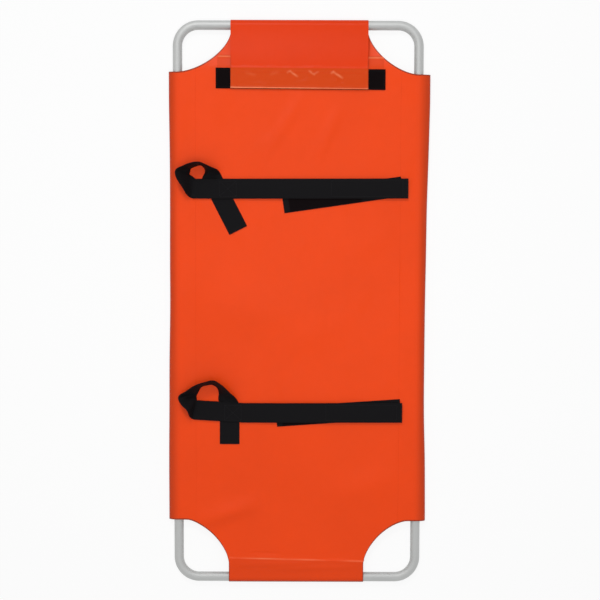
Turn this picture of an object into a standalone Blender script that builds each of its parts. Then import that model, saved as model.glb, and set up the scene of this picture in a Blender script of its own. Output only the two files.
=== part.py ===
"""Animal stretcher: a vinyl bed on a two-piece aluminium tube frame, with two hook-and-loop webbing straps.

The stretcher lies flat on its sleeves. +Z is up, +Y points to the head end, +X to the right-hand rail,
and the origin is the middle of the underside. All sizes are in metres.
"""

import math

import bmesh
import bpy
from mathutils import Vector

# General
GAP = 0.0003  # clearance that touching pieces keep
TINY = 0.00001  # merge distance of turned shapes

# Frame tube
FRAME_LENGTH = 1.143
FRAME_WIDTH = 0.504
TUBE_DIAMETER = 0.019
TUBE_WALL = 0.0015
CORNER_RADIUS = 0.042  # of the tube's centre line
HALVES_GAP = 0.0006  # between the cut ends of the two frame halves

# Inner sleeves that join the frame halves, with their rivets
SPIGOT_LENGTH = 0.120
SPIGOT_WALL = 0.0012
RIVET_DIAMETER = 0.004
RIVET_HEAD_DIAMETER = 0.0075
RIVET_HEAD_HEIGHT = 0.0012
RIVET_INSETS = (0.020, 0.045)  # from the joint of the halves

# Snap buttons and their spring clips
BUTTON_INSET = 0.045  # from the joint of the halves
BUTTON_DIAMETER = 0.006
BUTTON_STANDING = 0.0025  # out of the tube's outside
BUTTON_FLANGE_DIAMETER = 0.009
BUTTON_FLANGE_THICKNESS = 0.001
CLIP_THICKNESS = 0.0005
CLIP_WIDTH = 0.006
CLIP_LENGTH = 0.038
CLIP_PAD = 0.012  # flat stretch under the button
CLIP_BEND_RADIUS = 0.0031
HOLE_CLEARANCE = 0.0003  # round buttons and rivets

# Vinyl cover
VINYL = 0.001
SLEEVE_SLACK = 0.009  # how far the side sleeves stand out past the rails
HEM_WIDTH = 0.012
SEAM_INSET = 0.030  # from a tube's axis to its sleeve's seam
RETURN_INSET = 0.005  # from a tube's axis to where the sleeve's underside lifts off
TONGUE_WIDTH = 0.276  # of the cover where it meets the end tubes
HEAD_NOTCH_DEPTH = 0.086  # cut-outs of the cover's corners, along the rails
HEAD_NOTCH_MOUTH = 0.019  # from the frame's end to where the cut-out's curve starts
HEAD_NOTCH_WIDTH = 0.1045
HEAD_NOTCH_POWER = 1.67
FOOT_NOTCH_DEPTH = 0.089
FOOT_NOTCH_MOUTH = 0.040
FOOT_NOTCH_WIDTH = 0.087
FOOT_NOTCH_POWER = 1.58
HEAD_SLOPE_LENGTH = 0.092  # stretch over which the bed dips under the head tube
HEAD_ZONE_LENGTH = 0.060  # stretches of the bed next to the cut-outs, where its rows lie closer
FOOT_ZONE_LENGTH = 0.020

# Head flap and what fastens it
FLAP_LENGTH = 0.129
LOOP_STRIP_WIDTH = 0.340
LOOP_STRIP_HEIGHT = 0.041
LOOP_STRIP_THICKNESS = 0.0012
HOOK_STRIP_WIDTH = 0.262
HOOK_STRIP_HEIGHT = 0.036
HOOK_STRIP_THICKNESS = 0.001
PATCH_HEIGHT = 0.067
PATCH_THICKNESS = 0.0008
PATCH_EDGE_INSET = 0.001  # from the cut-out's edge

# Straps
WEBBING_WIDTH = 0.040
WEBBING_THICKNESS = 0.002
CROSSING_CLEARANCE = 0.0012  # between a strap and its own tail, which it crosses
TAPE_WIDTH = 0.036
LOOP_TAPE_THICKNESS = 0.0012
HOOK_TAPE_THICKNESS = 0.0012
LOOP_TAPE_LENGTH = 0.145
LOOP_TAPE_INSET = 0.012  # from the under strap's free end
HOOK_TAPE_LENGTH = 0.150
HOOK_TAPE_INSET = 0.008  # from the top strap's free end
ANCHOR_LENGTH = 0.020
STRAP_RISE_LENGTH = 0.090  # stretch over which the top strap climbs onto the under strap

# Each strap: where it is sewn down, where it ends, how its under strap lies, and its standing loop.
# A loop's stations run from the sewn place, round its hole, to the tail's end. Each holds where the middle
# of the webbing lies in plan from the sewn place, the direction from its hole-side edge to its outer edge
# and how far the outer edge leans up (both in degrees), and the hole-side edge's height as a share of the
# way from the bed (0) to the strap (1).
CHEST = {
    "name": "chest",
    "sewn_inset": 0.141,  # from the cover's left edge
    "sewn_y": 0.235,
    "end_inset": 0.039,  # from the cover's right edge
    "end_y": 0.2363,
    "anchor_inset": 0.071,  # from the cover's right edge
    "anchor_y": 0.2377,
    "under_length": 0.222,
    "under_slant_deg": 8.3,
    "loop": (
        (0.0000, 0.0000, -90, 0, 1.0),
        (-0.0400, 0.0000, -90, 0, 1.0),
        (-0.0780, 0.0000, -94, 0, 1.0),
        (-0.0920, 0.0015, -103, 2, 1.0),
        (-0.1044, 0.0159, -117, 45, 0.8),
        (-0.1108, 0.0344, -178, 45, 0.5),
        (-0.1005, 0.0437, -199, 69, 0.2),
        (-0.0795, 0.0500, -262, 81, 0.0),
        (-0.0668, 0.0456, -318, 79, 0.0),
        (-0.0588, 0.0372, -329, 62, 0.0),
        (-0.0558, 0.0274, -334, 20, 0.0),
        (-0.0510, 0.0160, -333, 0, 0.0),
        (-0.0283, -0.0286, -333, 0, 0.0),
        (-0.0001, -0.0840, -333, 0, 0.0),
    ),
}
HIP = {
    "name": "hip",
    "sewn_inset": 0.151,
    "sewn_y": -0.2197,
    "end_inset": 0.048,
    "end_y": -0.2188,
    "anchor_inset": 0.071,
    "anchor_y": -0.2126,
    "under_length": 0.233,
    "under_slant_deg": 3.9,
    "loop": (
        (0.0000, 0.0000, -90, 0, 1.0),
        (-0.0500, 0.0030, -90, 0, 1.0),
        (-0.0880, 0.0052, -94, 0, 1.0),
        (-0.0993, 0.0070, -104, 2, 1.0),
        (-0.1039, 0.0198, -126, 43, 0.8),
        (-0.1130, 0.0337, -172, 22, 0.5),
        (-0.1030, 0.0447, -195, 54, 0.2),
        (-0.0890, 0.0569, -232, 76, 0.0),
        (-0.0745, 0.0615, -264, 79, 0.0),
        (-0.0605, 0.0635, -286, 74, 0.0),
        (-0.0470, 0.0554, -323, 68, 0.0),
        (-0.0375, 0.0417, -348, 52, 0.0),
        (-0.0314, 0.0267, -357, 17, 0.0),
        (-0.0280, 0.0120, -360, 0, 0.0),
        (-0.0278, -0.0203, -360, 0, 0.0),
        (-0.0278, -0.0646, -360, 0, 0.0),
    ),
}

# Fineness of the meshes
TUBE_SIDES = 20
BEND_STEPS = 7
TURNED_STEPS = 16
FOLD_STEPS = 12  # round a rail's sleeve
WRAP_STEPS = 10  # round an end tube
RETURN_STEPS = 6  # from a tube's underside up to its seam
NOTCH_STEPS = 9  # along a corner cut-out
MIDDLE_STEPS = 8  # across the tongues
HEAD_ROWS = 9  # in the bed's last stretch at each end
FOOT_ROWS = 5
STRAP_STEPS = 16
LOOP_STEPS = 3  # stations made between two given ones

# Worked out from the sizes above
TUBE_RADIUS = TUBE_DIAMETER / 2
TUBE_Z = VINYL + GAP + TUBE_RADIUS
RAIL_X = FRAME_WIDTH / 2 - TUBE_RADIUS
END_Y = FRAME_LENGTH / 2 - TUBE_RADIUS
SPIGOT_RADIUS = TUBE_RADIUS - TUBE_WALL - GAP
BORE_RADIUS = SPIGOT_RADIUS - SPIGOT_WALL
# The two faces of a button's flange, from the tube's axis
BUTTON_FLANGE_OUT = math.sqrt(BORE_RADIUS**2 - (BUTTON_FLANGE_DIAMETER / 2) ** 2) - GAP
BUTTON_FLANGE_IN = BUTTON_FLANGE_OUT - BUTTON_FLANGE_THICKNESS
WRAP_RADIUS = TUBE_RADIUS + GAP + VINYL / 2  # of the sheet's middle round an end tube
BED_Z = TUBE_Z + WRAP_RADIUS  # middle of the sheet
FLOOR_Z = TUBE_Z - WRAP_RADIUS  # middle of the sheet where it lies on the floor
BED_TOP = BED_Z + VINYL / 2
HEM_Z = BED_Z - VINYL - GAP
COVER_HALF_WIDTH = FRAME_WIDTH / 2 + SLEEVE_SLACK
TONGUE_X = TONGUE_WIDTH / 2
HEAD_MOUTH_Y = FRAME_LENGTH / 2 - HEAD_NOTCH_MOUTH
FOOT_MOUTH_Y = -FRAME_LENGTH / 2 + FOOT_NOTCH_MOUTH
BED_HEAD_Y = HEAD_MOUTH_Y - HEAD_NOTCH_DEPTH - HEAD_ZONE_LENGTH  # the plain stretch of the bed
BED_FOOT_Y = FOOT_MOUTH_Y + FOOT_NOTCH_DEPTH + FOOT_ZONE_LENGTH  # lies between these two
FLAP_HINGE_Y = END_Y - GAP
FLAP_END_Y = FLAP_HINGE_Y - FLAP_LENGTH
UNDER_STRAP_Z = BED_TOP + GAP + WEBBING_THICKNESS / 2
SEWN_STRAP_Z = UNDER_STRAP_Z + WEBBING_THICKNESS + CROSSING_CLEARANCE
LOOP_TAPE_Z = UNDER_STRAP_Z + WEBBING_THICKNESS / 2 + GAP + LOOP_TAPE_THICKNESS / 2
HOOK_TAPE_Z = LOOP_TAPE_Z + LOOP_TAPE_THICKNESS / 2 + GAP + HOOK_TAPE_THICKNESS / 2
TOP_STRAP_Z = HOOK_TAPE_Z + HOOK_TAPE_THICKNESS / 2 + GAP + WEBBING_THICKNESS / 2


def smooth(share):
    """An even start and stop between 0 and 1."""
    share = min(max(share, 0.0), 1.0)
    return share * share * (3 - 2 * share)


def blend(start, end, share):
    return start + (end - start) * share


def spread(start, end, steps):
    """steps + 1 even values from start to end."""
    return [blend(start, end, k / steps) for k in range(steps + 1)]


def linear(*channels):
    """An 8-bit screen colour as the linear colour that Blender uses."""
    return [((c / 255 + 0.055) / 1.055) ** 2.4 if c > 10 else c / 255 / 12.92 for c in channels] + [1.0]


def make_material(name, colour, roughness, metallic=0.0):
    material = bpy.data.materials.new(name)
    material.use_nodes = True
    shader = material.node_tree.nodes["Principled BSDF"]
    shader.inputs["Base Color"].default_value = colour
    shader.inputs["Roughness"].default_value = roughness
    shader.inputs["Metallic"].default_value = metallic
    material.diffuse_color = colour
    return material


def add_object(name, mesh, material, collection, location=(0, 0, 0)):
    """One named piece with its material, shaded smooth but for its real edges."""
    piece = bpy.data.objects.new(name, mesh)
    piece.location = location
    collection.objects.link(piece)
    mesh.materials.clear()
    mesh.materials.append(material)
    mesh.shade_smooth()
    mesh.set_sharp_from_angle(angle=math.radians(40))
    return piece


def add_sheet(name, columns, rows, place, thickness, material, collection, keep=None, origin=(0, 0, 0)):
    """A grid of cells, moved so that corner (column, row) lies at place(column, row), and given a thickness.

    keep(column, row) says which cells stay; origin is where the piece turns or rests.
    """
    sheet = bmesh.new()
    bmesh.ops.create_grid(sheet, x_segments=columns, y_segments=rows, size=1.0)
    corner = {v: (round((v.co.x + 1) / 2 * columns), round((v.co.y + 1) / 2 * rows)) for v in sheet.verts}
    if keep:
        cut = []
        for face in sheet.faces:
            cell = [min(corner[v][axis] for v in face.verts) for axis in (0, 1)]
            if not keep(*cell):
                cut.append(face)
        bmesh.ops.delete(sheet, geom=cut, context="FACES")
    for vertex in sheet.verts:
        vertex.co = Vector(place(*corner[vertex])) - Vector(origin)
    mesh = bpy.data.meshes.new(name)
    sheet.to_mesh(mesh)
    sheet.free()
    piece = add_object(name, mesh, material, collection, origin)
    solidify = piece.modifiers.new("Thickness", "SOLIDIFY")
    solidify.thickness = thickness
    solidify.offset = 0.0
    solidify.use_even_offset = True
    return piece


def add_turned(name, profile, location, outward, material, collection):
    """A profile of (radius, height) from its top down, turned about an axis that points to outward * X."""
    mesh = bpy.data.meshes.new(name)
    points = [(radius, 0.0, height) for radius, height in profile]
    mesh.from_pydata(points, [(k, k + 1) for k in range(len(points) - 1)], [])
    piece = add_object(name, mesh, material, collection, location)
    piece.rotation_euler = (0, outward * math.pi / 2, 0)
    screw = piece.modifiers.new("Turn", "SCREW")
    screw.steps = screw.render_steps = TURNED_STEPS
    screw.use_merge_vertices = True
    screw.merge_threshold = TINY
    return piece


def add_cutter(name, radius, start, end, y, cutters):
    """A cylinder along X from start to end, at the tube's height, that only cuts holes."""
    bpy.ops.mesh.primitive_cylinder_add(
        vertices=TURNED_STEPS,
        radius=radius,
        depth=abs(end - start),
        location=((start + end) / 2, y, TUBE_Z),
        rotation=(0, math.pi / 2, 0),
    )
    cutter = bpy.context.object
    cutter.name = name
    for collection in list(cutter.users_collection):
        collection.objects.unlink(cutter)
    cutters.objects.link(cutter)
    cutter.hide_render = True
    cutter.display_type = "WIRE"
    return cutter


def cut(piece, cutter):
    boolean = piece.modifiers.new(cutter.name, "BOOLEAN")
    boolean.operation = "DIFFERENCE"
    boolean.solver = "EXACT"
    boolean.object = cutter


def add_pipe(name, path, radius, wall, material, collection):
    """A hollow tube with open ends along a path of points."""
    curve = bpy.data.curves.new(name, "CURVE")
    curve.dimensions = "3D"
    curve.twist_mode = "Z_UP"
    curve.bevel_depth = radius
    curve.bevel_resolution = TUBE_SIDES // 4 - 1
    spline = curve.splines.new("POLY")
    spline.points.add(len(path) - 1)
    for point, place in zip(spline.points, path):
        point.co = (*place, 1.0)
    line = bpy.data.objects.new(name + "_line", curve)
    collection.objects.link(line)
    bpy.context.view_layer.update()
    mesh = bpy.data.meshes.new_from_object(line.evaluated_get(bpy.context.evaluated_depsgraph_get()))
    bpy.data.objects.remove(line)
    bpy.data.curves.remove(curve)
    mesh.name = name
    pipe = add_object(name, mesh, material, collection)
    solidify = pipe.modifiers.new("Wall", "SOLIDIFY")
    solidify.thickness = wall
    solidify.offset = -1.0
    solidify.use_even_offset = True
    return pipe


def half_frame_path(end):
    """Centre line of one U-shaped half: up the right rail, across the end and back down the left rail."""
    bend_x = RAIL_X - CORNER_RADIUS
    bend_y = END_Y - CORNER_RADIUS
    path = [(RAIL_X, HALVES_GAP / 2), (RAIL_X, bend_y / 2)]
    for angle in spread(0, math.pi / 2, BEND_STEPS):
        path.append((bend_x + CORNER_RADIUS * math.cos(angle), bend_y + CORNER_RADIUS * math.sin(angle)))
    path += [(-x, y) for x, y in reversed(path)]
    return [(x, end * y, TUBE_Z) for x, y in path]


def build_frame(materials, parts, cutters):
    """The two tube halves, and on each rail the sleeve, rivets, snap button and clip that join them."""
    head = add_pipe("head_frame_tube", half_frame_path(1), TUBE_RADIUS, TUBE_WALL, materials["tube"], parts)
    foot = add_pipe("foot_frame_tube", half_frame_path(-1), TUBE_RADIUS, TUBE_WALL, materials["tube"], parts)
    for side, side_name in ((-1, "left"), (1, "right")):
        rail = side * RAIL_X
        reach = 1.5 * TUBE_RADIUS
        half = SPIGOT_LENGTH / 2
        path = [(rail, y, TUBE_Z) for y in spread(-half, half, 4)]
        spigot = add_pipe(
            side_name + "_frame_spigot", path, SPIGOT_RADIUS, SPIGOT_WALL, materials["spigot"], parts
        )
        button_hole = add_cutter(
            side_name + "_button_hole",
            BUTTON_DIAMETER / 2 + HOLE_CLEARANCE,
            rail + side * SPIGOT_RADIUS / 4,
            rail + side * reach,
            BUTTON_INSET,
            cutters,
        )
        cut(spigot, button_hole)
        cut(head, button_hole)
        build_button(side, side_name, materials, parts)
        build_clip(side, side_name, materials, parts)
        for number, inset in enumerate(RIVET_INSETS, 1):
            rivet_hole = add_cutter(
                f"{side_name}_rivet_hole_{number}",
                RIVET_DIAMETER / 2 + HOLE_CLEARANCE,
                rail - reach,
                rail + reach,
                -inset,
                cutters,
            )
            cut(spigot, rivet_hole)
            cut(foot, rivet_hole)
            build_rivet(side, f"{side_name}_spigot_rivet_{number}", -inset, materials, parts)


def build_rivet(side, name, y, materials, parts):
    """A rivet straight through tube and sleeve, with a low domed head on each side."""
    seat = TUBE_RADIUS + GAP
    head_radius = RIVET_HEAD_DIAMETER / 2
    outer = []
    for angle in spread(0, math.pi / 2, 3):
        outer.append((head_radius * math.sin(angle), seat + RIVET_HEAD_HEIGHT * math.cos(angle)))
    outer.append((RIVET_DIAMETER / 2, seat))
    profile = outer + [(radius, -height) for radius, height in reversed(outer)]
    add_turned(name, profile, (side * RAIL_X, y, TUBE_Z), side, materials["rivet"], parts)


def build_button(side, side_name, materials, parts):
    """A domed button with a flange inside the sleeve, which stops it from falling out."""
    radius = BUTTON_DIAMETER / 2
    top = TUBE_RADIUS + BUTTON_STANDING
    dome = [
        (radius * math.sin(angle), top - radius / 2 + radius / 2 * math.cos(angle))
        for angle in spread(0, math.pi / 2, 4)
    ]
    profile = dome + [
        (radius, BUTTON_FLANGE_OUT),
        (BUTTON_FLANGE_DIAMETER / 2, BUTTON_FLANGE_OUT),
        (BUTTON_FLANGE_DIAMETER / 2, BUTTON_FLANGE_IN),
        (0.0, BUTTON_FLANGE_IN),
    ]
    place = (side * RAIL_X, BUTTON_INSET, TUBE_Z)
    add_turned(side_name + "_snap_button", profile, place, side, materials["button"], parts)


def build_clip(side, side_name, materials, parts):
    """A folded strip of spring steel: one leg under the button, the other on the sleeve's far wall."""
    under_button = BUTTON_FLANGE_IN - GAP - CLIP_THICKNESS / 2
    far_wall = -math.sqrt(BORE_RADIUS**2 - (CLIP_WIDTH / 2) ** 2) + GAP + CLIP_THICKNESS / 2
    bend_y = BUTTON_INSET + CLIP_PAD / 2 - CLIP_LENGTH + CLIP_BEND_RADIUS
    bend_x = far_wall + CLIP_BEND_RADIUS
    path = [(under_button, BUTTON_INSET + CLIP_PAD / 2), (under_button, BUTTON_INSET - CLIP_PAD / 2)]
    for angle in spread(0, math.pi, WRAP_STEPS):
        turn_x = bend_x + CLIP_BEND_RADIUS * math.cos(angle)
        turn_y = bend_y - CLIP_BEND_RADIUS * math.sin(angle)
        path.append((turn_x, turn_y))
    path.append((far_wall, BUTTON_INSET + CLIP_PAD / 2))

    def place(column, row):
        depth, y = path[column]
        return (side * (RAIL_X + depth), y, TUBE_Z + (row - 0.5) * CLIP_WIDTH)

    add_sheet(
        side_name + "_button_spring", len(path) - 1, 1, place, CLIP_THICKNESS, materials["clip"], parts
    )


def notch_y(x, depth, width, mouth, outer_x, power):
    """Distance from the middle of the bed to a corner cut-out's edge, at x on the bed."""
    share = min(max((outer_x - abs(x)) / width, 0.0), 1.0)
    return mouth - depth * (1 - share**power) ** (1 / power)


def head_edge_y(x):
    outer_x = TONGUE_X + HEAD_NOTCH_WIDTH
    return notch_y(x, HEAD_NOTCH_DEPTH, HEAD_NOTCH_WIDTH, HEAD_MOUTH_Y, outer_x, HEAD_NOTCH_POWER)


def foot_edge_y(x):
    outer_x = TONGUE_X + FOOT_NOTCH_WIDTH
    return -notch_y(x, FOOT_NOTCH_DEPTH, FOOT_NOTCH_WIDTH, -FOOT_MOUTH_Y, outer_x, FOOT_NOTCH_POWER)


def bed_z(x, y):
    """Height of the sheet's middle: level, but dipping under the head tube between the rails."""
    dip = smooth((y - END_Y + HEAD_SLOPE_LENGTH) / HEAD_SLOPE_LENGTH)
    across = smooth((RAIL_X - TUBE_RADIUS - abs(x)) / (RAIL_X - TUBE_RADIUS - TONGUE_X))
    return BED_Z - (BED_Z - FLOOR_Z) * dip * across


def sleeve_profile():
    """The sheet from its hem under the bed to a tube's underside: (distance past the tube's axis, z)."""
    profile = [(-SEAM_INSET - HEM_WIDTH, HEM_Z)]
    for share in spread(0, 1, RETURN_STEPS):
        profile.append((blend(-SEAM_INSET, -RETURN_INSET, share), blend(HEM_Z, FLOOR_Z, smooth(share))))
    return profile


def side_profile():
    """Right half of the cover's cross-section from its hem, round the rail, to the rail's top."""
    profile = [(RAIL_X + offset, z) for offset, z in sleeve_profile()]
    fold_width = COVER_HALF_WIDTH - VINYL / 2 - RAIL_X
    for angle in spread(-math.pi / 2, math.pi / 2, FOLD_STEPS):
        profile.append((RAIL_X + fold_width * math.cos(angle), TUBE_Z + WRAP_RADIUS * math.sin(angle)))
    return profile


def build_cover(materials, parts):
    """One sheet: the bed, a closed sleeve for each rail and the foot tube, a tongue round the head tube."""
    wrap = side_profile()
    beside_tongue = []
    for angle in spread(0, math.pi / 2, NOTCH_STEPS)[1:]:
        beside_tongue.append((blend(RAIL_X, TONGUE_X, math.sin(angle)), BED_Z))
    right = wrap + beside_tongue
    middle = [(x, BED_Z) for x in spread(TONGUE_X, -TONGUE_X, MIDDLE_STEPS)][1:-1]
    section = right + middle + [(-x, z) for x, z in reversed(right)]
    first_inner = len(right) - 1
    last_inner = len(section) - len(right)
    on_bed = range(len(wrap) - 1, len(section) - len(wrap) + 1)

    foot_wrap = [(y, BED_Z) for y in spread(FOOT_MOUTH_Y, -END_Y, 2)][1:]
    for angle in spread(math.pi / 2, -math.pi / 2, WRAP_STEPS)[1:]:
        foot_wrap.append((-END_Y - WRAP_RADIUS * math.cos(angle), TUBE_Z + WRAP_RADIUS * math.sin(angle)))
    foot_wrap += [(-END_Y - offset, z) for offset, z in reversed(sleeve_profile())]
    head_wrap = [(y, None) for y in spread(HEAD_MOUTH_Y, END_Y, 2)][1:]
    for angle in spread(-math.pi / 2, math.pi / 2, WRAP_STEPS)[1:]:
        head_wrap.append((END_Y + WRAP_RADIUS * math.cos(angle), TUBE_Z + WRAP_RADIUS * math.sin(angle)))
    foot_shares = spread(0, 1, FOOT_ROWS)[:-1]
    plain = spread(BED_FOOT_Y, BED_HEAD_Y, 4)
    head_shares = spread(0, 1, HEAD_ROWS)[1:]
    first_bed_row = len(foot_wrap)
    last_bed_row = first_bed_row + len(foot_shares) + len(plain) + len(head_shares) - 1
    rows = last_bed_row + len(head_wrap)

    def bed_y(x, row):
        step = row - first_bed_row
        if step < len(foot_shares):
            return blend(foot_edge_y(x), BED_FOOT_Y, foot_shares[step])
        step -= len(foot_shares)
        if step < len(plain):
            return plain[step]
        return blend(BED_HEAD_Y, head_edge_y(x), head_shares[step - len(plain)])

    def place(column, row):
        x, z = section[column]
        if row < first_bed_row:
            y, z = foot_wrap[first_bed_row - 1 - row]
            return (x, y, z)
        if row > last_bed_row:
            y, z = head_wrap[row - last_bed_row - 1]
            return (x, y, bed_z(x, y) if z is None else z)
        if column in on_bed:
            y = bed_y(x, row)
            return (x, y, bed_z(x, y))
        return (x, bed_y(COVER_HALF_WIDTH, row), z)

    def keep(column, row):
        return first_bed_row <= row < last_bed_row or first_inner <= column < last_inner

    add_sheet("bed_cover", len(section) - 1, rows, place, VINYL, materials["vinyl"], parts, keep)


def build_head_flap(materials, parts):
    """What closes the head end: a patch and a loop strip on the bed, and the flap with its hook strip."""
    patch_z = VINYL / 2 + GAP + PATCH_THICKNESS / 2
    loop_z = patch_z + PATCH_THICKNESS / 2 + GAP + LOOP_STRIP_THICKNESS / 2
    hook_z = loop_z + LOOP_STRIP_THICKNESS / 2 + GAP + HOOK_STRIP_THICKNESS / 2
    flap_z = hook_z + HOOK_STRIP_THICKNESS / 2 + GAP + VINYL / 2
    hinge = (0, FLAP_HINGE_Y, BED_TOP)
    patch_rows = 6
    flap_rows = 12
    outer_x = TONGUE_X + HEAD_NOTCH_WIDTH

    def strip_place(width, height, lift):
        def place(column, row):
            y = FLAP_END_Y + height * row / 2
            x = width * (column / MIDDLE_STEPS - 0.5)
            return (x, y, bed_z(x, y) + lift)

        return place

    def patch_place(column, row):
        y = FLAP_END_Y + PATCH_HEIGHT * row / patch_rows
        rise = min(max((HEAD_MOUTH_Y - y) / HEAD_NOTCH_DEPTH, 0.0), 1.0)
        edge = outer_x - HEAD_NOTCH_WIDTH * (1 - rise**HEAD_NOTCH_POWER) ** (1 / HEAD_NOTCH_POWER)
        half = min(LOOP_STRIP_WIDTH / 2, edge - PATCH_EDGE_INSET)
        x = 2 * half * (column / MIDDLE_STEPS - 0.5)
        return (x, y, bed_z(x, y) + patch_z)

    def flap_place(column, row):
        y = blend(FLAP_HINGE_Y, FLAP_END_Y, row / flap_rows)
        lie = smooth((FLAP_HINGE_Y - y) / HEAD_SLOPE_LENGTH)
        return (TONGUE_WIDTH * (column / MIDDLE_STEPS - 0.5), y, BED_Z + flap_z * lie)

    vinyl = materials["vinyl"]
    flap_vinyl = materials["flap"]
    loop_place = strip_place(LOOP_STRIP_WIDTH, LOOP_STRIP_HEIGHT, loop_z)
    hook_place = strip_place(HOOK_STRIP_WIDTH, HOOK_STRIP_HEIGHT, hook_z)
    add_sheet(
        "head_reinforcement", MIDDLE_STEPS, patch_rows, patch_place, PATCH_THICKNESS, vinyl, parts
    )
    add_sheet(
        "flap_loop_strip", MIDDLE_STEPS, 2, loop_place, LOOP_STRIP_THICKNESS, materials["loop"], parts
    )
    add_sheet("head_flap", MIDDLE_STEPS, flap_rows, flap_place, VINYL, flap_vinyl, parts, origin=hinge)
    add_sheet(
        "flap_hook_strip",
        MIDDLE_STEPS,
        2,
        hook_place,
        HOOK_STRIP_THICKNESS,
        materials["hook"],
        parts,
        origin=hinge,
    )


def through(points, steps):
    """A smooth curve through the points, with steps - 1 new ones between each two (Catmull-Rom)."""
    points = [Vector(point) for point in points]
    ends = [2 * points[0] - points[1], *points, 2 * points[-1] - points[-2]]
    curve = []
    for before, start, end, after in zip(ends, ends[1:], ends[2:], ends[3:]):
        for k in range(steps):
            t = k / steps
            tangent = (end - before) * t
            bend = (2 * before - 5 * start + 4 * end - after) * t**2
            twist = (3 * start - 3 * end + after - before) * t**3
            curve.append((2 * start + tangent + bend + twist) / 2)
    return curve + [points[-1]]


def build_strap_loop(strap, sewn_x, materials, parts):
    """The strap's left end: it stands up in a loop, passes under itself and ends in a loose tail."""
    stations = []
    for x, y, across, lean, level in strap["loop"]:
        z = blend(UNDER_STRAP_Z, SEWN_STRAP_Z, level)
        stations.append((sewn_x + x, strap["sewn_y"] + y, z, math.radians(across), math.radians(lean)))
    stations = through(stations, LOOP_STEPS)

    def place(column, row):
        x, y, z, across, lean = stations[column]
        lean = max(lean, 0.0)
        flat = WEBBING_WIDTH * (row - 1) / 2 * math.cos(lean)
        rise = WEBBING_WIDTH * row / 2 * math.sin(lean)
        return (x + flat * math.cos(across), y + flat * math.sin(across), max(z, UNDER_STRAP_Z) + rise)

    name = strap["name"] + "_strap_loop"
    add_sheet(name, len(stations) - 1, 2, place, WEBBING_THICKNESS, materials["webbing"], parts)


def build_strap(strap, materials, parts):
    """One strap: the sewn loop, the top strap that peels up from it, and the under strap that it grips."""
    sewn_x = strap["sewn_inset"] - COVER_HALF_WIDTH
    build_strap_loop(strap, sewn_x, materials, parts)
    start_x = sewn_x + 2 * GAP
    end_x = COVER_HALF_WIDTH - strap["end_inset"]
    hinge = (start_x, strap["sewn_y"], SEWN_STRAP_Z + WEBBING_THICKNESS / 2)
    half_width = WEBBING_WIDTH / 2
    half_tape = TAPE_WIDTH / 2

    def line_y(x):
        return blend(strap["sewn_y"], strap["end_y"], (x - start_x) / (end_x - start_x))

    def top_place(column, row):
        x = blend(start_x, end_x, column / STRAP_STEPS)
        climb = smooth((x - start_x) / STRAP_RISE_LENGTH)
        return (x, line_y(x) + half_width * (row - 1), blend(SEWN_STRAP_Z, TOP_STRAP_Z, climb))

    def hook_place(column, row):
        x = end_x - HOOK_TAPE_INSET - HOOK_TAPE_LENGTH * (1 - column / 4)
        return (x, line_y(x) + half_tape * (row - 1), HOOK_TAPE_Z)

    name = strap["name"]
    webbing = materials["webbing"]
    add_sheet(
        name + "_strap", STRAP_STEPS, 2, top_place, WEBBING_THICKNESS, webbing, parts, origin=hinge
    )
    add_sheet(
        name + "_hook_tape", 4, 2, hook_place, HOOK_TAPE_THICKNESS, materials["hook"], parts, origin=hinge
    )

    anchor = Vector((COVER_HALF_WIDTH - strap["anchor_inset"], strap["anchor_y"], UNDER_STRAP_Z))
    slant = math.radians(strap["under_slant_deg"])
    along = Vector((-math.cos(slant), -math.sin(slant), 0))
    across = Vector((math.sin(slant), -math.cos(slant), 0))
    under_hinge = anchor + Vector((0, 0, WEBBING_THICKNESS / 2))

    def lying(start, end, columns, half, z):
        def place(column, row):
            spot = anchor + along * blend(start, end, column / columns) + across * half * (row - 1)
            return (spot.x, spot.y, z)

        return place

    add_sheet(
        name + "_strap_anchor",
        2,
        2,
        lying(-ANCHOR_LENGTH, -2 * GAP, 2, half_width, UNDER_STRAP_Z),
        WEBBING_THICKNESS,
        webbing,
        parts,
    )
    length = strap["under_length"]
    add_sheet(
        name + "_under_strap",
        8,
        2,
        lying(0, length, 8, half_width, UNDER_STRAP_Z),
        WEBBING_THICKNESS,
        webbing,
        parts,
        origin=under_hinge,
    )
    tape_end = length - LOOP_TAPE_INSET
    add_sheet(
        name + "_loop_tape",
        4,
        2,
        lying(tape_end - LOOP_TAPE_LENGTH, tape_end, 4, half_tape, LOOP_TAPE_Z),
        LOOP_TAPE_THICKNESS,
        materials["loop"],
        parts,
        origin=under_hinge,
    )


def main():
    for old in list(bpy.data.objects):
        bpy.data.objects.remove(old)
    parts = bpy.data.collections.new("animal_stretcher")
    cutters = bpy.data.collections.new("cutters")
    for collection in (parts, cutters):
        bpy.context.scene.collection.children.link(collection)
    materials = {
        "tube": make_material("satin_aluminium", linear(181, 182, 181), 0.42, 1.0),
        "spigot": make_material("bare_aluminium", linear(165, 167, 168), 0.35, 1.0),
        "rivet": make_material("rivet_steel", linear(150, 150, 150), 0.3, 1.0),
        "button": make_material("button_steel", linear(190, 190, 188), 0.22, 1.0),
        "clip": make_material("spring_steel", linear(120, 122, 126), 0.3, 1.0),
        "vinyl": make_material("orange_vinyl", linear(239, 77, 36), 0.45),
        "flap": make_material("flap_vinyl", linear(230, 71, 34), 0.4),
        "webbing": make_material("black_webbing", linear(26, 24, 27), 0.7),
        "hook": make_material("hook_tape", linear(14, 13, 16), 0.85),
        "loop": make_material("loop_tape", linear(12, 11, 14), 0.95),
    }
    build_frame(materials, parts, cutters)
    build_cover(materials, parts)
    build_head_flap(materials, parts)
    for strap in (CHEST, HIP):
        build_strap(strap, materials, parts)


main()
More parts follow.
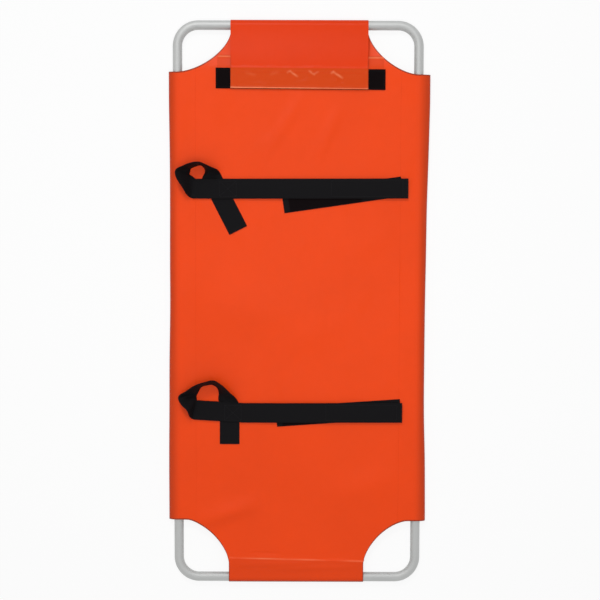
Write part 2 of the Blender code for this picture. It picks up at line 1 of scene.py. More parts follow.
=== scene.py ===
"""Animal stretcher: the dressed model of a rescue stretcher for a small animal.

An orange vinyl cover is stretched over a tube frame, turned back at the head end as a flap with a
hook-and-loop strip, and crossed by two black webbing straps. All sizes are in metres. +Z is up, +Y points to
the head end and +X to the right-hand rail, as in the frame model that the pieces are fitted to.
"""

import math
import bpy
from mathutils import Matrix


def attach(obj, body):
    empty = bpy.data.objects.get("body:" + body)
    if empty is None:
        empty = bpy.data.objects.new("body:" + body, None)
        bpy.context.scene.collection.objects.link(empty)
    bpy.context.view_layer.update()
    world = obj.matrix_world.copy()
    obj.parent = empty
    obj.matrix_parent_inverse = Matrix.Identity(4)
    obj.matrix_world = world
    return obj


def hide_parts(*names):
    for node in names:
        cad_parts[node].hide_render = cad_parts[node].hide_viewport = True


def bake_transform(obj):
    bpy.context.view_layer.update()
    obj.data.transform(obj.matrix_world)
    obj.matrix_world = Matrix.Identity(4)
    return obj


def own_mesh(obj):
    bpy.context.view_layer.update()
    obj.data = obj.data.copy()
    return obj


bl_info = {
    "name": "Animal Stretcher",
    "version": (1, 0, 0),
    "blender": (4, 5, 0),
    "location": "View3D > Sidebar > Stretcher",
    "description": "Dresses the frame model of an animal stretcher with its cover, straps and finishes",
    "category": "Object",
}

import bmesh
import bpy
from mathutils import Matrix, Vector, noise

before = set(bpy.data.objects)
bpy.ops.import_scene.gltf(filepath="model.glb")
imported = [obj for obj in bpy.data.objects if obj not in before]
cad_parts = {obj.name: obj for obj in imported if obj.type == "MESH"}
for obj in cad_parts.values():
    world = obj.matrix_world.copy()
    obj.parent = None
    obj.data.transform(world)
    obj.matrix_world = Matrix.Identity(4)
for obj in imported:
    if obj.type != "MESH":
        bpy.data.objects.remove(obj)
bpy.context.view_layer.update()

# Sizes that the frame model has too
GAP = 0.0003  # clearance that touching pieces keep
FRAME_LENGTH = 1.143
FRAME_WIDTH = 0.504
TUBE_DIAMETER = 0.019
TUBE_WALL = 0.0015
CORNER_RADIUS = 0.042  # of the tube's centre line
HALVES_GAP = 0.0006  # between the cut ends of the two frame halves
BUTTON_INSET = 0.045  # holes' distances from the joint of the halves
BUTTON_HOLE_DIAMETER = 0.0066
RIVET_INSETS = (0.020, 0.045)
RIVET_HOLE_DIAMETER = 0.0046
VINYL = 0.001  # thickness of the coated cloth
SLEEVE_SLACK = 0.009  # how far the side sleeves stand out past the rails
HEM_WIDTH = 0.012
SEAM_INSET = 0.030  # from a tube's axis to its sleeve's seam
RETURN_INSET = 0.005  # from a tube's axis to where the sleeve's underside lifts off
TONGUE_WIDTH = 0.276  # of the cover where it meets the end tubes
HEAD_NOTCH_DEPTH = 0.086  # cut-outs of the cover's corners, along the rails
HEAD_NOTCH_MOUTH = 0.019  # from the frame's end to where the cut-out's curve starts
HEAD_NOTCH_WIDTH = 0.1045
HEAD_NOTCH_POWER = 1.67
FOOT_NOTCH_DEPTH = 0.089
FOOT_NOTCH_MOUTH = 0.040
FOOT_NOTCH_WIDTH = 0.087
FOOT_NOTCH_POWER = 1.58
HEAD_SLOPE_LENGTH = 0.092  # stretch over which the bed dips under the head tube
HEAD_ZONE_LENGTH = 0.060
FOOT_ZONE_LENGTH = 0.020
FLAP_LENGTH = 0.129
LOOP_STRIP_WIDTH = 0.340
LOOP_STRIP_HEIGHT = 0.041
LOOP_STRIP_THICKNESS = 0.0012
HOOK_STRIP_WIDTH = 0.262
HOOK_STRIP_HEIGHT = 0.036
HOOK_STRIP_THICKNESS = 0.001
PATCH_HEIGHT = 0.067
PATCH_THICKNESS = 0.0008
PATCH_EDGE_INSET = 0.001  # from the cut-out's edge
WEBBING_WIDTH = 0.040
WEBBING_THICKNESS = 0.002
CROSSING_CLEARANCE = 0.0012  # between a strap and its own tail, which it crosses
TAPE_WIDTH = 0.036
LOOP_TAPE_THICKNESS = 0.0012
HOOK_TAPE_THICKNESS = 0.0012
LOOP_TAPE_LENGTH = 0.145
LOOP_TAPE_INSET = 0.012  # from the under strap's free end
HOOK_TAPE_LENGTH = 0.150
HOOK_TAPE_INSET = 0.008  # from the top strap's free end
ANCHOR_LENGTH = 0.020
STRAP_RISE_LENGTH = 0.090  # stretch over which the top strap climbs onto the under strap

# Each strap: where it is sewn down, where it ends, how its under strap lies, and its standing loop.
# A loop's stations run from the sewn place, round its hole, to the tail's end. Each holds where the middle
# of the webbing lies in plan from the sewn place, the direction from its hole-side edge to its outer edge and
# how far the outer edge leans up (both in degrees), and the hole-side edge's height as a share of the way
# from the bed (0) to the strap (1).
CHEST = {
    "name": "chest",
    "sewn_inset": 0.141,  # from the cover's left edge
    "sewn_y": 0.235,
    "end_inset": 0.039,  # from the cover's right edge
    "end_y": 0.2363,
    "anchor_inset": 0.071,  # from the cover's right edge
    "anchor_y": 0.2377,
    "under_length": 0.222,
    "under_slant_deg": 8.3,
    "loop": (
        (0.0000, 0.0000, -90, 0, 1.0),
        (-0.0400, 0.0000, -90, 0, 1.0),
        (-0.0780, 0.0000, -94, 0, 1.0),
        (-0.0920, 0.0015, -103, 2, 1.0),
        (-0.1044, 0.0159, -117, 45, 0.8),
        (-0.1108, 0.0344, -178, 45, 0.5),
        (-0.1005, 0.0437, -199, 69, 0.2),
        (-0.0795, 0.0500, -262, 81, 0.0),
        (-0.0668, 0.0456, -318, 79, 0.0),
        (-0.0588, 0.0372, -329, 62, 0.0),
        (-0.0558, 0.0274, -334, 20, 0.0),
        (-0.0510, 0.0160, -333, 0, 0.0),
        (-0.0283, -0.0286, -333, 0, 0.0),
        (-0.0001, -0.0840, -333, 0, 0.0),
    ),
}
HIP = {
    "name": "hip",
    "sewn_inset": 0.151,
    "sewn_y": -0.2197,
    "end_inset": 0.048,
    "end_y": -0.2188,
    "anchor_inset": 0.071,
    "anchor_y": -0.2126,
    "under_length": 0.233,
    "under_slant_deg": 3.9,
    "loop": (
        (0.0000, 0.0000, -90, 0, 1.0),
        (-0.0500, 0.0030, -90, 0, 1.0),
        (-0.0880, 0.0052, -94, 0, 1.0),
        (-0.0993, 0.0070, -104, 2, 1.0),
        (-0.1039, 0.0198, -126, 43, 0.8),
        (-0.1130, 0.0337, -172, 22, 0.5),
        (-0.1030, 0.0447, -195, 54, 0.2),
        (-0.0890, 0.0569, -232, 73, 0.0),
        (-0.0745, 0.0615, -264, 74, 0.0),
        (-0.0605, 0.0635, -286, 70, 0.0),
        (-0.0470, 0.0554, -323, 68, 0.0),
        (-0.0375, 0.0417, -348, 52, 0.0),
        (-0.0314, 0.0267, -357, 17, 0.0),
        (-0.0280, 0.0120, -360, 0, 0.0),
        (-0.0278, -0.0203, -360, 0, 0.0),
        (-0.0278, -0.0646, -360, 0, 0.0),
    ),
}

# Soft folds of the cover: both ends in plan, half width and height
BED_RIDGES = (
    ((-0.215, -0.452), (-0.075, -0.404), 0.018, 0.0062),
    ((-0.095, 0.265), (0.014, 0.425), 0.013, 0.0034),
    ((-0.125, 0.262), (-0.060, 0.345), 0.010, 0.0018),
    ((0.024, 0.270), (0.088, 0.405), 0.013, 0.0030),
    ((-0.225, 0.010), (0.060, -0.030), 0.050, 0.0052),
    ((-0.060, -0.100), (0.120, -0.020), 0.030, 0.0026),
    ((0.060, -0.400), (0.215, -0.350), 0.028, 0.0032),
    ((0.100, 0.110), (0.200, 0.150), 0.025, 0.0022),
)
FOOT_CREASES = (
    ((0.050, -0.5235), (0.128, -0.5265), 0.0018, 0.0010),
    ((-0.100, -0.5195), (-0.030, -0.5200), 0.0018, 0.0009),
    ((-0.100, -0.5100), (-0.030, -0.5115), 0.0020, -0.0011),
    ((-0.035, -0.5205), (0.045, -0.5255), 0.0018, 0.0007),
    ((-0.128, -0.5350), (0.040, -0.5320), 0.0050, 0.0010),
    ((-0.060, -0.5435), (0.126, -0.5390), 0.0050, 0.0011),
)
FLAP_PUCKERS = (
    ((-0.020, 0.4690), (-0.002, 0.4560), 0.0018, 0.0017),
    ((-0.026, 0.4640), (-0.016, 0.4700), 0.0016, 0.0010),
    ((0.018, 0.4700), (0.032, 0.4600), 0.0018, 0.0015),
    ((0.028, 0.4620), (0.040, 0.4680), 0.0016, 0.0009),
    ((0.066, 0.4690), (0.088, 0.4540), 0.0020, 0.0018),
    ((0.062, 0.4630), (0.070, 0.4690), 0.0018, 0.0012),
    ((0.068, 0.4585), (0.088, 0.4460), 0.0022, -0.0016),
    ((-0.110, 0.4650), (-0.085, 0.4590), 0.0030, 0.0003),
    ((-0.060, 0.4610), (-0.040, 0.4670), 0.0030, 0.0003),
)

PUCKER_HIGHLIGHT_HEIGHT = 0.0034  # height at which a pucker gets its full painted highlight

# How far each rail's sleeve stands out past its usual place, from the foot end to the head end
LEFT_SLEEVE_SWAY = (0.0015, 0.0016, 0.0007, 0.0, -0.0018, -0.0018, -0.0023, -0.0021, -0.0008)
RIGHT_SLEEVE_SWAY = (0.0020, 0.0008, -0.0020, -0.0021, -0.0018, -0.0006, 0.0004, 0.0030, 0.0052)

FOOT_SEAM_Y = -0.5227  # where the cloth of the foot sleeve starts to be double
FOOT_SEAM_SKEW = 0.022  # how much nearer the foot end that seam lies for each metre to the right
FOOT_SEAM_HEIGHT = 0.0011  # of the step up onto the double cloth
FOOT_SEAM_STEP = 0.0030  # length of that step
FOOT_DETAIL_Y = -0.48  # the foot sleeve's step and creases all lie beyond this
FOOT_FADE_START = 0.004  # from the foot tube's axis, where the step has faded away
FOOT_FADE_LENGTH = 0.030
SEAM_HIGHLIGHT_WIDTH = 0.0012  # of the painted highlight along the foot sleeve's seam
FOOT_SHIFT = 0.0018  # the foot end of the bed lies that far to the left
FLAP_SHIFT = 0.0025  # the bed's head end and the flap lie that far to the right
STRIP_SHIFT = 0.0049  # and the strips and the patch under the flap that far
FLAP_SHORT = 0.0009  # how much of the strip shows below the flap's hem
FLAP_LIFT = 0.0016  # the flap and its strips lie that far towards the head end at their middle
FLAP_SKEW = 0.0075  # and that much lower for each metre to the right
HEAD_SKEW = 0.0095  # the same of the bed's head end
FOOT_SKEW = 0.0045  # and of its foot end
HEAD_PULL_Y = 0.40  # the bed is pulled askew beyond these two places
FOOT_PULL_Y = -0.38
PULL_LENGTH = 0.07
RAIL_HOLD = 0.08  # within that distance the rails hold the bed in place
MOUTH_HOLD = 0.06  # and so does the head end's edge
WAVE_CALM = 0.05  # within that distance the waves die out at the rails and the foot tube
HEAD_WAVE_CALM = 0.13  # and at the head tube
FINE_WAVE_SHARE = 0.35
RIDGE_FADE = 0.7  # how bluntly a fold fades at its ends
CRUMPLE_HEIGHT = 0.0009  # of the flap where the strip lies under it
CRUMPLE_START = 0.008  # how far above the strip that begins
HEM_WELT = 0.0018  # height of the flap's hem, and its width
STRIP_WELT = 0.0007  # height of the flap over the strip's upper edge
PATCH_WELT = 0.0012  # height of the patch's upper edge
PATCH_WELT_INSET = 0.0028
PATCH_SIDE_INSET = 0.003

MERGE_DISTANCE = 0.00001  # points nearer to each other than this are one point

# Fineness of the sheets
TUBE_SIDES = 48
BEND_STEPS = 20
FOLD_STEPS = 14  # round a rail's sleeve
WRAP_STEPS = 14  # round an end tube
RETURN_STEPS = 8  # from a tube's underside up to its seam
NOTCH_STEPS = 24  # along a corner cut-out
MIDDLE_STEPS = 58  # across the tongues
PLAIN_ROWS = 100
HEAD_ROWS = 36
FOOT_ROWS = 40
EDGE_CROWDING = 1.3  # how the rows crowd towards the cut-outs
EDGE_BAND = 0.0026  # sealed stretch along a cut edge
LOOP_STEPS = 9  # stations made between two given ones
SWAY_STEPS = 10  # the same along a rail's sleeve
FOOT_SLEEVE_STEPS = 12  # from the cut-outs to the foot tube
HEAD_SLEEVE_STEPS = 5  # from the cut-outs to the head tube
FLAP_COLUMNS = 156
FLAP_ROWS = 108
PATCH_CELLS = (100, 40)
STRIP_CELLS = (80, 12)
TAPE_CELLS = (50, 6)
TOP_STRAP_COLUMNS = 120
UNDER_STRAP_COLUMNS = 80
ANCHOR_COLUMNS = 10
HOLE_SIDES = 24
STRAP_SHARES = (0.0, 0.012, 0.035, 0.09, 0.25, 0.5, 0.75, 0.91, 0.965, 0.988, 1.0)  # across a strap
STRAP_FULLNESS = (0.35, 0.75, 0.93, 1.0, 0.97, 0.96, 0.97, 1.0, 0.93, 0.75, 0.35)  # its thickness there

# How far along the under strap its root lies from its hinge
UNDER_STRAP_ROOT = 0.020

# Darkening, as shares of the cut edges' colour; on the turn and the folds it is painted shade
EDGE_DARKENING = 0.8
TURN_SHADE = 0.75  # painted shade on the turn round the foot tube
FOLD_SHADE = 0.40  # painted shade on the folds round the rails
SIDE_DARKENING = 0.35  # at the flap's sides

# Sewing
STITCH_SHARE = 0.84  # of a stitch's length that its bead of thread takes
STITCH_FLATNESS = 0.8
SEAM_END_INSET = 0.004  # from a cut edge to where a seam ends
HOOK_SEW_INSET = 0.0035  # from the hook strip's edges to its seam
LOOP_SEW_INSET = 0.003  # the same of the loop strip
TAPE_SEW_INSET = 0.0025  # the same of the straps' tapes, at their sides
TAPE_END_INSET = 0.003  # and at their ends
RUN_STEP = 0.004
SEWN_BOX_INSET = 0.021  # from a strap's sewn place to its box's middle
SEWN_BOX = (0.017, 0.0155)  # half length and half width
ANCHOR_BOX = (0.0075, 0.0155)


def screen_colour(*channels):
    """An 8-bit screen colour as the linear colour that Blender uses."""
    return tuple(((c / 255 + 0.055) / 1.055) ** 2.4 if c > 10 else c / 255 / 12.92 for c in channels)


class StretcherFrameSettings(bpy.types.PropertyGroup):
    tube_diameter: bpy.props.FloatProperty(
        name="Tube diameter",
        description="Outside diameter of the frame tube",
        default=TUBE_DIAMETER,
        unit="LENGTH",
    )
    tube_wall: bpy.props.FloatProperty(
        name="Tube wall", description="Wall of the frame tube", default=TUBE_WALL, unit="LENGTH"
    )
    tube_colour: bpy.props.FloatVectorProperty(
        name="Tube colour",
        description="Colour of the satin aluminium tube",
        default=screen_colour(205, 206, 205),
        subtype="COLOR",
        min=0,
        max=1,
    )
    steel_colour: bpy.props.FloatVectorProperty(
        name="Steel colour",
        description="Colour of the snap buttons and their clips",
        default=screen_colour(176, 177, 180),
        subtype="COLOR",
        min=0,
        max=1,
    )


class StretcherCoverSettings(bpy.types.PropertyGroup):
    thickness: bpy.props.FloatProperty(
        name="Vinyl thickness", description="Thickness of the coated cloth", default=VINYL, unit="LENGTH"
    )
    wave_height: bpy.props.FloatProperty(
        name="Wave height",
        description="How far the bed's soft waves stand off its plane",
        default=0.0015,
        unit="LENGTH",
    )
    scrim_pitch: bpy.props.FloatProperty(
        name="Scrim pitch",
        description="Distance between the threads that show through the coating",
        default=0.0011,
        unit="LENGTH",
    )
    bed_colour: bpy.props.FloatVectorProperty(
        name="Bed colour",
        description="Colour of the vinyl bed",
        default=screen_colour(240, 70, 10),
        subtype="COLOR",
        min=0,
        max=1,
    )
    # The flap's colour is the bed's vinyl with painted shade, for the light that its double layer holds back
    shaded_flap_colour: bpy.props.FloatVectorProperty(
        name="Flap colour",
        description="Colour of the head flap",
        default=screen_colour(229, 60, 8),
        subtype="COLOR",
        min=0,
        max=1,
    )
    edge_colour: bpy.props.FloatVectorProperty(
        name="Cut edge colour",
        description="Colour of the cover's cut edges",
        default=screen_colour(120, 48, 24),
        subtype="COLOR",
        min=0,
        max=1,
    )


class StretcherStrapSettings(bpy.types.PropertyGroup):
    width: bpy.props.FloatProperty(
        name="Webbing width", description="Width of the straps", default=WEBBING_WIDTH, unit="LENGTH"
    )
    thickness: bpy.props.FloatProperty(
        name="Webbing thickness",
        description="Thickness of the straps",
        default=WEBBING_THICKNESS,
        unit="LENGTH",
    )
    rib_pitch: bpy.props.FloatProperty(
        name="Rib pitch", description="Distance between the weave's ribs", default=0.0016, unit="LENGTH"
    )
    thread_diameter: bpy.props.FloatProperty(
        name="Thread diameter", description="Diameter of the sewing thread", default=0.0007, unit="LENGTH"
    )
    stitch_length: bpy.props.FloatProperty(
        name="Stitch length", description="Length of one stitch", default=0.0034, unit="LENGTH"
    )
    webbing_colour: bpy.props.FloatVectorProperty(
        name="Webbing colour",
        description="Colour of the straps",
        default=screen_colour(16, 15, 17),
        subtype="COLOR",
        min=0,
        max=1,
    )
    tape_colour: bpy.props.FloatVectorProperty(
        name="Tape colour",
        description="Colour of the hook and loop tapes",
        default=screen_colour(16, 11, 12),
        subtype="COLOR",
        min=0,
        max=1,
    )
    thread_colour: bpy.props.FloatVectorProperty(
        name="Thread colour",
        description="Colour of the black sewing thread",
        default=screen_colour(26, 25, 28),
        subtype="COLOR",
        min=0,
        max=1,
    )


class StretcherStageSettings(bpy.types.PropertyGroup):
    floor_size: bpy.props.FloatProperty(
        name="Floor size", description="Side of the square floor", default=14.0, unit="LENGTH"
    )
    key_power: bpy.props.FloatProperty(
        name="Key light", description="Power of the light beyond the head end", default=26.0, unit="POWER"
    )
    fill_power: bpy.props.FloatProperty(
        name="Fill light", description="Power of the wide light over the bed", default=11.0, unit="POWER"
    )
    ambient: bpy.props.FloatProperty(
        name="Ambient light", description="Strength of the even light from all round", default=0.42
    )
    floor_colour: bpy.props.FloatVectorProperty(
        name="Floor colour",
        description="Colour of the floor",
        default=(0.9, 0.9, 0.9),
        subtype="COLOR",
        min=0,
        max=1,
    )


# Worked out from the sizes above
TUBE_RADIUS = TUBE_DIAMETER / 2
TUBE_Z = VINYL + GAP + TUBE_RADIUS
RAIL_X = FRAME_WIDTH / 2 - TUBE_RADIUS
END_Y = FRAME_LENGTH / 2 - TUBE_RADIUS
WRAP_RADIUS = TUBE_RADIUS + GAP + VINYL / 2  # of the sheet's middle round an end tube
BED_Z = TUBE_Z + WRAP_RADIUS  # middle of the sheet
FLOOR_Z = TUBE_Z - WRAP_RADIUS  # middle of the sheet where it lies on the floor
BED_TOP = BED_Z + VINYL / 2
HEM_Z = BED_Z - VINYL - GAP
COVER_HALF_WIDTH = FRAME_WIDTH / 2 + SLEEVE_SLACK
TONGUE_X = TONGUE_WIDTH / 2
HEAD_MOUTH_Y = FRAME_LENGTH / 2 - HEAD_NOTCH_MOUTH
FOOT_MOUTH_Y = -FRAME_LENGTH / 2 + FOOT_NOTCH_MOUTH
BED_HEAD_Y = HEAD_MOUTH_Y - HEAD_NOTCH_DEPTH - HEAD_ZONE_LENGTH
BED_FOOT_Y = FOOT_MOUTH_Y + FOOT_NOTCH_DEPTH + FOOT_ZONE_LENGTH
FLAP_HINGE_Y = END_Y - GAP
FLAP_END_Y = FLAP_HINGE_Y - FLAP_LENGTH
UNDER_STRAP_Z = BED_TOP + GAP + WEBBING_THICKNESS / 2
SEWN_STRAP_Z = UNDER_STRAP_Z + WEBBING_THICKNESS + CROSSING_CLEARANCE
LOOP_TAPE_Z = UNDER_STRAP_Z + WEBBING_THICKNESS / 2 + GAP + LOOP_TAPE_THICKNESS / 2
HOOK_TAPE_Z = LOOP_TAPE_Z + LOOP_TAPE_THICKNESS / 2 + GAP + HOOK_TAPE_THICKNESS / 2
TOP_STRAP_Z = HOOK_TAPE_Z + HOOK_TAPE_THICKNESS / 2 + GAP + WEBBING_THICKNESS / 2
PATCH_Z = VINYL / 2 + GAP + PATCH_THICKNESS / 2  # these four are above the bed's middle
LOOP_STRIP_Z = PATCH_Z + PATCH_THICKNESS / 2 + GAP + LOOP_STRIP_THICKNESS / 2
HOOK_STRIP_Z = LOOP_STRIP_Z + LOOP_STRIP_THICKNESS / 2 + GAP + HOOK_STRIP_THICKNESS / 2
FLAP_Z = HOOK_STRIP_Z + HOOK_STRIP_THICKNESS / 2 + GAP + VINYL / 2


def smooth(share):
    """An even start and stop between 0 and 1."""
    share = min(max(share, 0.0), 1.0)
    return share * share * (3 - 2 * share)


def bell(away, width):
    """1 at no distance, fading smoothly to almost nothing at twice the width."""
    return math.exp(-((away / width) ** 2))


def blend(start, end, share):
    return start + (end - start) * share


def spread(start, end, steps):
    """steps + 1 even values from start to end."""
    return [blend(start, end, k / steps) for k in range(steps + 1)]


def notch_y(x, depth, width, mouth, outer_x, power):
    """Distance from the middle of the bed to a corner cut-out's edge, at x on the bed."""
    share = min(max((outer_x - abs(x)) / width, 0.0), 1.0)
    return mouth - depth * (1 - share**power) ** (1 / power)


def head_edge_y(x):
    outer_x = TONGUE_X + HEAD_NOTCH_WIDTH
    return notch_y(x, HEAD_NOTCH_DEPTH, HEAD_NOTCH_WIDTH, HEAD_MOUTH_Y, outer_x, HEAD_NOTCH_POWER)


def foot_edge_y(x):
    outer_x = TONGUE_X + FOOT_NOTCH_WIDTH
    return -notch_y(x, FOOT_NOTCH_DEPTH, FOOT_NOTCH_WIDTH, -FOOT_MOUTH_Y, outer_x, FOOT_NOTCH_POWER)


def bed_z(x, y):
    """Height of the sheet's middle: level, but dipping under the head tube between the rails."""
    dip = smooth((y - END_Y + HEAD_SLOPE_LENGTH) / HEAD_SLOPE_LENGTH)
    across = smooth((RAIL_X - TUBE_RADIUS - abs(x)) / (RAIL_X - TUBE_RADIUS - TONGUE_X))
    return BED_Z - (BED_Z - FLOOR_Z) * dip * across


def ridge(x, y, start, end, half_width, height):
    """A soft fold along the line from start to end, fading at both ends."""
    run_x, run_y = end[0] - start[0], end[1] - start[1]
    share = ((x - start[0]) * run_x + (y - start[1]) * run_y) / (run_x**2 + run_y**2)
    if not 0 < share < 1:
        return 0.0
    away = math.hypot(x - start[0] - run_x * share, y - start[1] - run_y * share) / half_width
    return height * math.exp(-away * away) * math.sin(math.pi * share) ** RIDGE_FADE


def edge_spread(steps):
    """steps + 1 values from 0 to 1 that crowd towards 0."""
    return [share**EDGE_CROWDING for share in spread(0, 1, steps)]


def head_tilt(x):
    """The flap and its strips lie a little askew."""
    return FLAP_LIFT - FLAP_SKEW * x


def askew(x, y):
    """The bed is pulled a little to the right at its head end and to the left at its foot end.

    It also lies a little lower at the right than at the left there.
    """
    near_head = smooth((y - HEAD_PULL_Y) / PULL_LENGTH)
    near_foot = smooth((FOOT_PULL_Y - y) / PULL_LENGTH)
    off_rails = smooth((RAIL_X - abs(x)) / RAIL_HOLD)
    off_mouth = smooth((HEAD_MOUTH_Y - y) / MOUTH_HOLD)
    to_right = (FLAP_SHIFT * near_head - FOOT_SHIFT * near_foot) * off_rails
    lower = HEAD_SKEW * near_head * off_mouth + FOOT_SKEW * near_foot
    return x + to_right, y - x * lower


def foot_seam_y(x):
    return FOOT_SEAM_Y - FOOT_SEAM_SKEW * x


def ridges(x, y, folds):
    return sum(ridge(x, y, *fold) for fold in folds)


def bed_wave(x, y, height):
    """How far the tight bed stands off its plane. The waves die out at the rails and the end tubes."""
    calm = smooth((RAIL_X - abs(x)) / WAVE_CALM) * smooth((y + END_Y) / WAVE_CALM)
    calm *= smooth((END_Y - y) / HEAD_WAVE_CALM)
    broad = noise.noise(Vector((x * 6.0, y * 5.0, 3.7)))
    fine = noise.noise(Vector((x * 17.0 + 4.0, y * 13.0, 9.1)))
    return calm * (height * (broad + FINE_WAVE_SHARE * fine) + ridges(x, y, BED_RIDGES))


def path_length(points):
    return sum(math.dist(a, b) for a, b in zip(points, points[1:]))


# Shader maths

MIX_COLOUR_INPUTS = (6, 7)  # where a Mix node has its two colours among its sockets
MIX_COLOUR_OUTPUT = 2


class Signal:
    """A number that varies over a surface. Arithmetic on it adds Math nodes to its finish."""

    def __init__(self, finish, socket):
        self.finish = finish
        self.socket = socket

    def __add__(self, other):
        return self.finish.maths("ADD", self, other)

    __radd__ = __add__

    def __mul__(self, other):
        return self.finish.maths("MULTIPLY", self, other)

    __rmul__ = __mul__

    def __abs__(self):
        return self.finish.maths("ABSOLUTE", self)


class Finish:
    """A material with its Principled shader, and the calls that build its node tree."""

    def __init__(self, name, colour, roughness, metallic=0.0, specular=0.5):
        self.material = bpy.data.materials.new(name)
        self.material.use_nodes = True
        self.tree = self.material.node_tree
        self.shader = self.tree.nodes["Principled BSDF"]
        self.shader.inputs["Base Color"].default_value = (*colour, 1.0)
        self.shader.inputs["Roughness"].default_value = roughness
        self.shader.inputs["Metallic"].default_value = metallic
        self.shader.inputs["Specular IOR Level"].default_value = specular
        self.material.diffuse_color = (*colour, 1.0)

    def node(self, kind, settings, inputs):
        """Adds a node of a kind, with its settings and the values or links of its sockets."""
        made = self.tree.nodes.new(kind)
        for name, value in settings.items():
            setattr(made, name, value)
        for name, value in inputs.items():
            if isinstance(value, Signal):
                value = value.socket
            if isinstance(value, bpy.types.NodeSocket):
                self.tree.links.new(value, made.inputs[name])
            else:
                made.inputs[name].default_value = value
        return made

    def maths(self, operation, *values):
        made = self.node("ShaderNodeMath", {"operation": operation}, dict(enumerate(values)))
        return Signal(self, made.outputs[0])

    def sine(self, value):
        return self.maths("SINE", value)

    def clamped(self, value, low, high):
        """A signal's way from low to high, as 0 to 1."""
        inputs = {"Value": value, "From Min": low, "From Max": high}
        made = self.node("ShaderNodeMapRange", {"clamp": True}, inputs)
        return Signal(self, made.outputs["Result"])

    def place(self):
        """Where a point of the surface is, in metres."""
        return self.node("ShaderNodeTexCoord", {}, {}).outputs["Object"]

    def stretched(self, vector, scale):
        made = self.node("ShaderNodeVectorMath", {"operation": "MULTIPLY"}, {0: vector, 1: scale})
        return made.outputs["Vector"]

    def noise(self, vector, scale, detail=2.0, roughness=0.5):
        inputs = {"Vector": vector, "Scale": scale, "Detail": detail, "Roughness": roughness}
        return Signal(self, self.node("ShaderNodeTexNoise", {}, inputs).outputs["Fac"])

    def cells(self, vector, scale):
        inputs = {"Vector": vector, "Scale": scale}
        return Signal(self, self.node("ShaderNodeTexVoronoi", {}, inputs).outputs["Distance"])

    def along_and_across(self):
        """The cloth's own two directions, in metres."""
        vector = self.node("ShaderNodeUVMap", {"uv_map": "UVMap"}, {}).outputs["UV"]
        parts = self.node("ShaderNodeSeparateXYZ", {}, {"Vector": vector}).outputs
        return vector, Signal(self, parts["X"]), Signal(self, parts["Y"])

    def attribute(self, name):
        """A number that the mesh keeps at its points."""
        return Signal(self, self.node("ShaderNodeAttribute", {"attribute_name": name}, {}).outputs["Fac"])

    def mixed(self, factor, first, second):
        """From the first colour to the second. Each is a colour or a socket that has one."""
        inputs = {0: factor}
        for number, colour in zip(MIX_COLOUR_INPUTS, (first, second)):
            inputs[number] = (*colour, 1.0) if isinstance(colour, tuple) else colour
        return self.node("ShaderNodeMix", {"data_type": "RGBA"}, inputs).outputs[MIX_COLOUR_OUTPUT]

    def feed(self, name, value):
        socket = value.socket if isinstance(value, Signal) else value
        self.tree.links.new(socket, self.shader.inputs[name])

    def relief(self, height, distance):
        """Gives the surface a fine relief of that depth, in metres."""
        made = self.node("ShaderNodeBump", {}, {"Height": height, "Distance": distance})
        self.feed("Normal", made.outputs["Normal"])


PAINTED_HIGHLIGHT_COLOUR = screen_colour(255, 150, 104)  # painted highlight on hems, seams and puckers
BED_SHEEN = 0.2  # how strongly the coating mirrors its surroundings
HEAD_SHEEN = 0.14  # the same of the flap and its patch, which are duller
BED_DOUBLE_SHADE = 0.22  # painted shade where the cloth is double, for the light one layer lets through
FLAP_STRIP_SHADE = 0.3  # painted shade on the flap where the black strip lies behind it
HOOK_PITCH = 0.0018  # between the rows of hooks


def tinted(colour, factor):
    return tuple(min(c * factor, 1.0) for c in colour)


def vinyl_finish(name, colour, edge_colour, scrim_pitch, sheen, backing_shade=0.0, backing_shade_colour=None):
    """PVC-coated cloth: a soft sheen, a fine grain, and the scrim's threads just showing.

    Its cut edges are darker. The folds round the rails and the turn round the foot tube get painted shade,
    and so does the cloth where it is double or backed by a black strip, for the light one layer lets through.
    Where a hem, seam or pucker stands up, a painted highlight stands for the light glinting on it.
    """
    finish = Finish(name, colour, 0.3, specular=sheen)
    along, across = finish.along_and_across()[1:]
    turn = 2 * math.pi / scrim_pitch
    threads = finish.sine(along * turn) + finish.sine(across * turn)
    place = finish.place()
    grain = finish.noise(place, 1400.0)
    cloud = finish.noise(place, 7.0, detail=3.0)
    rub = finish.noise(place, 60.0, detail=4.0)
    tone = finish.clamped(cloud * 0.75 + rub * 0.25, 0.3, 0.7)
    base = finish.mixed(tone, tinted(colour, 0.965), tinted(colour, 1.03))
    # Painted shade where the cloth is double or a black strip lies behind it
    if backing_shade:
        base = finish.mixed(finish.attribute("backing_shade") * backing_shade, base, backing_shade_colour or tinted(colour, 0.6))
    # Darker at the cut edges, and painted shade on the folds round the rails and the turn round the foot tube
    darkening = finish.attribute("darkening") * (0.8 + rub * 0.4)
    base = finish.mixed(darkening, base, tuple(edge_colour))
    # Painted highlight where a hem, seam or pucker stands up
    pale = finish.attribute("painted_highlight") * (0.7 + rub * 0.6)
    finish.feed("Base Color", finish.mixed(pale, base, PAINTED_HIGHLIGHT_COLOUR))
    finish.feed("Roughness", 0.25 + rub * 0.10 + grain * 0.04)
    finish.relief(threads * 0.16 + grain * 0.5 + rub * 0.35, 0.00010)
    return finish.material


def edge_finish(name, colour):
    """The cut edge of the coated cloth, where its cloth core shows."""
    finish = Finish(name, colour, 0.7, specular=0.15)
    fibres = finish.noise(finish.place(), 1800.0)
    finish.feed("Base Color", finish.mixed(fibres, tinted(colour, 0.8), tinted(colour, 1.2)))
    finish.relief(fibres, 0.0001)
    return finish.material


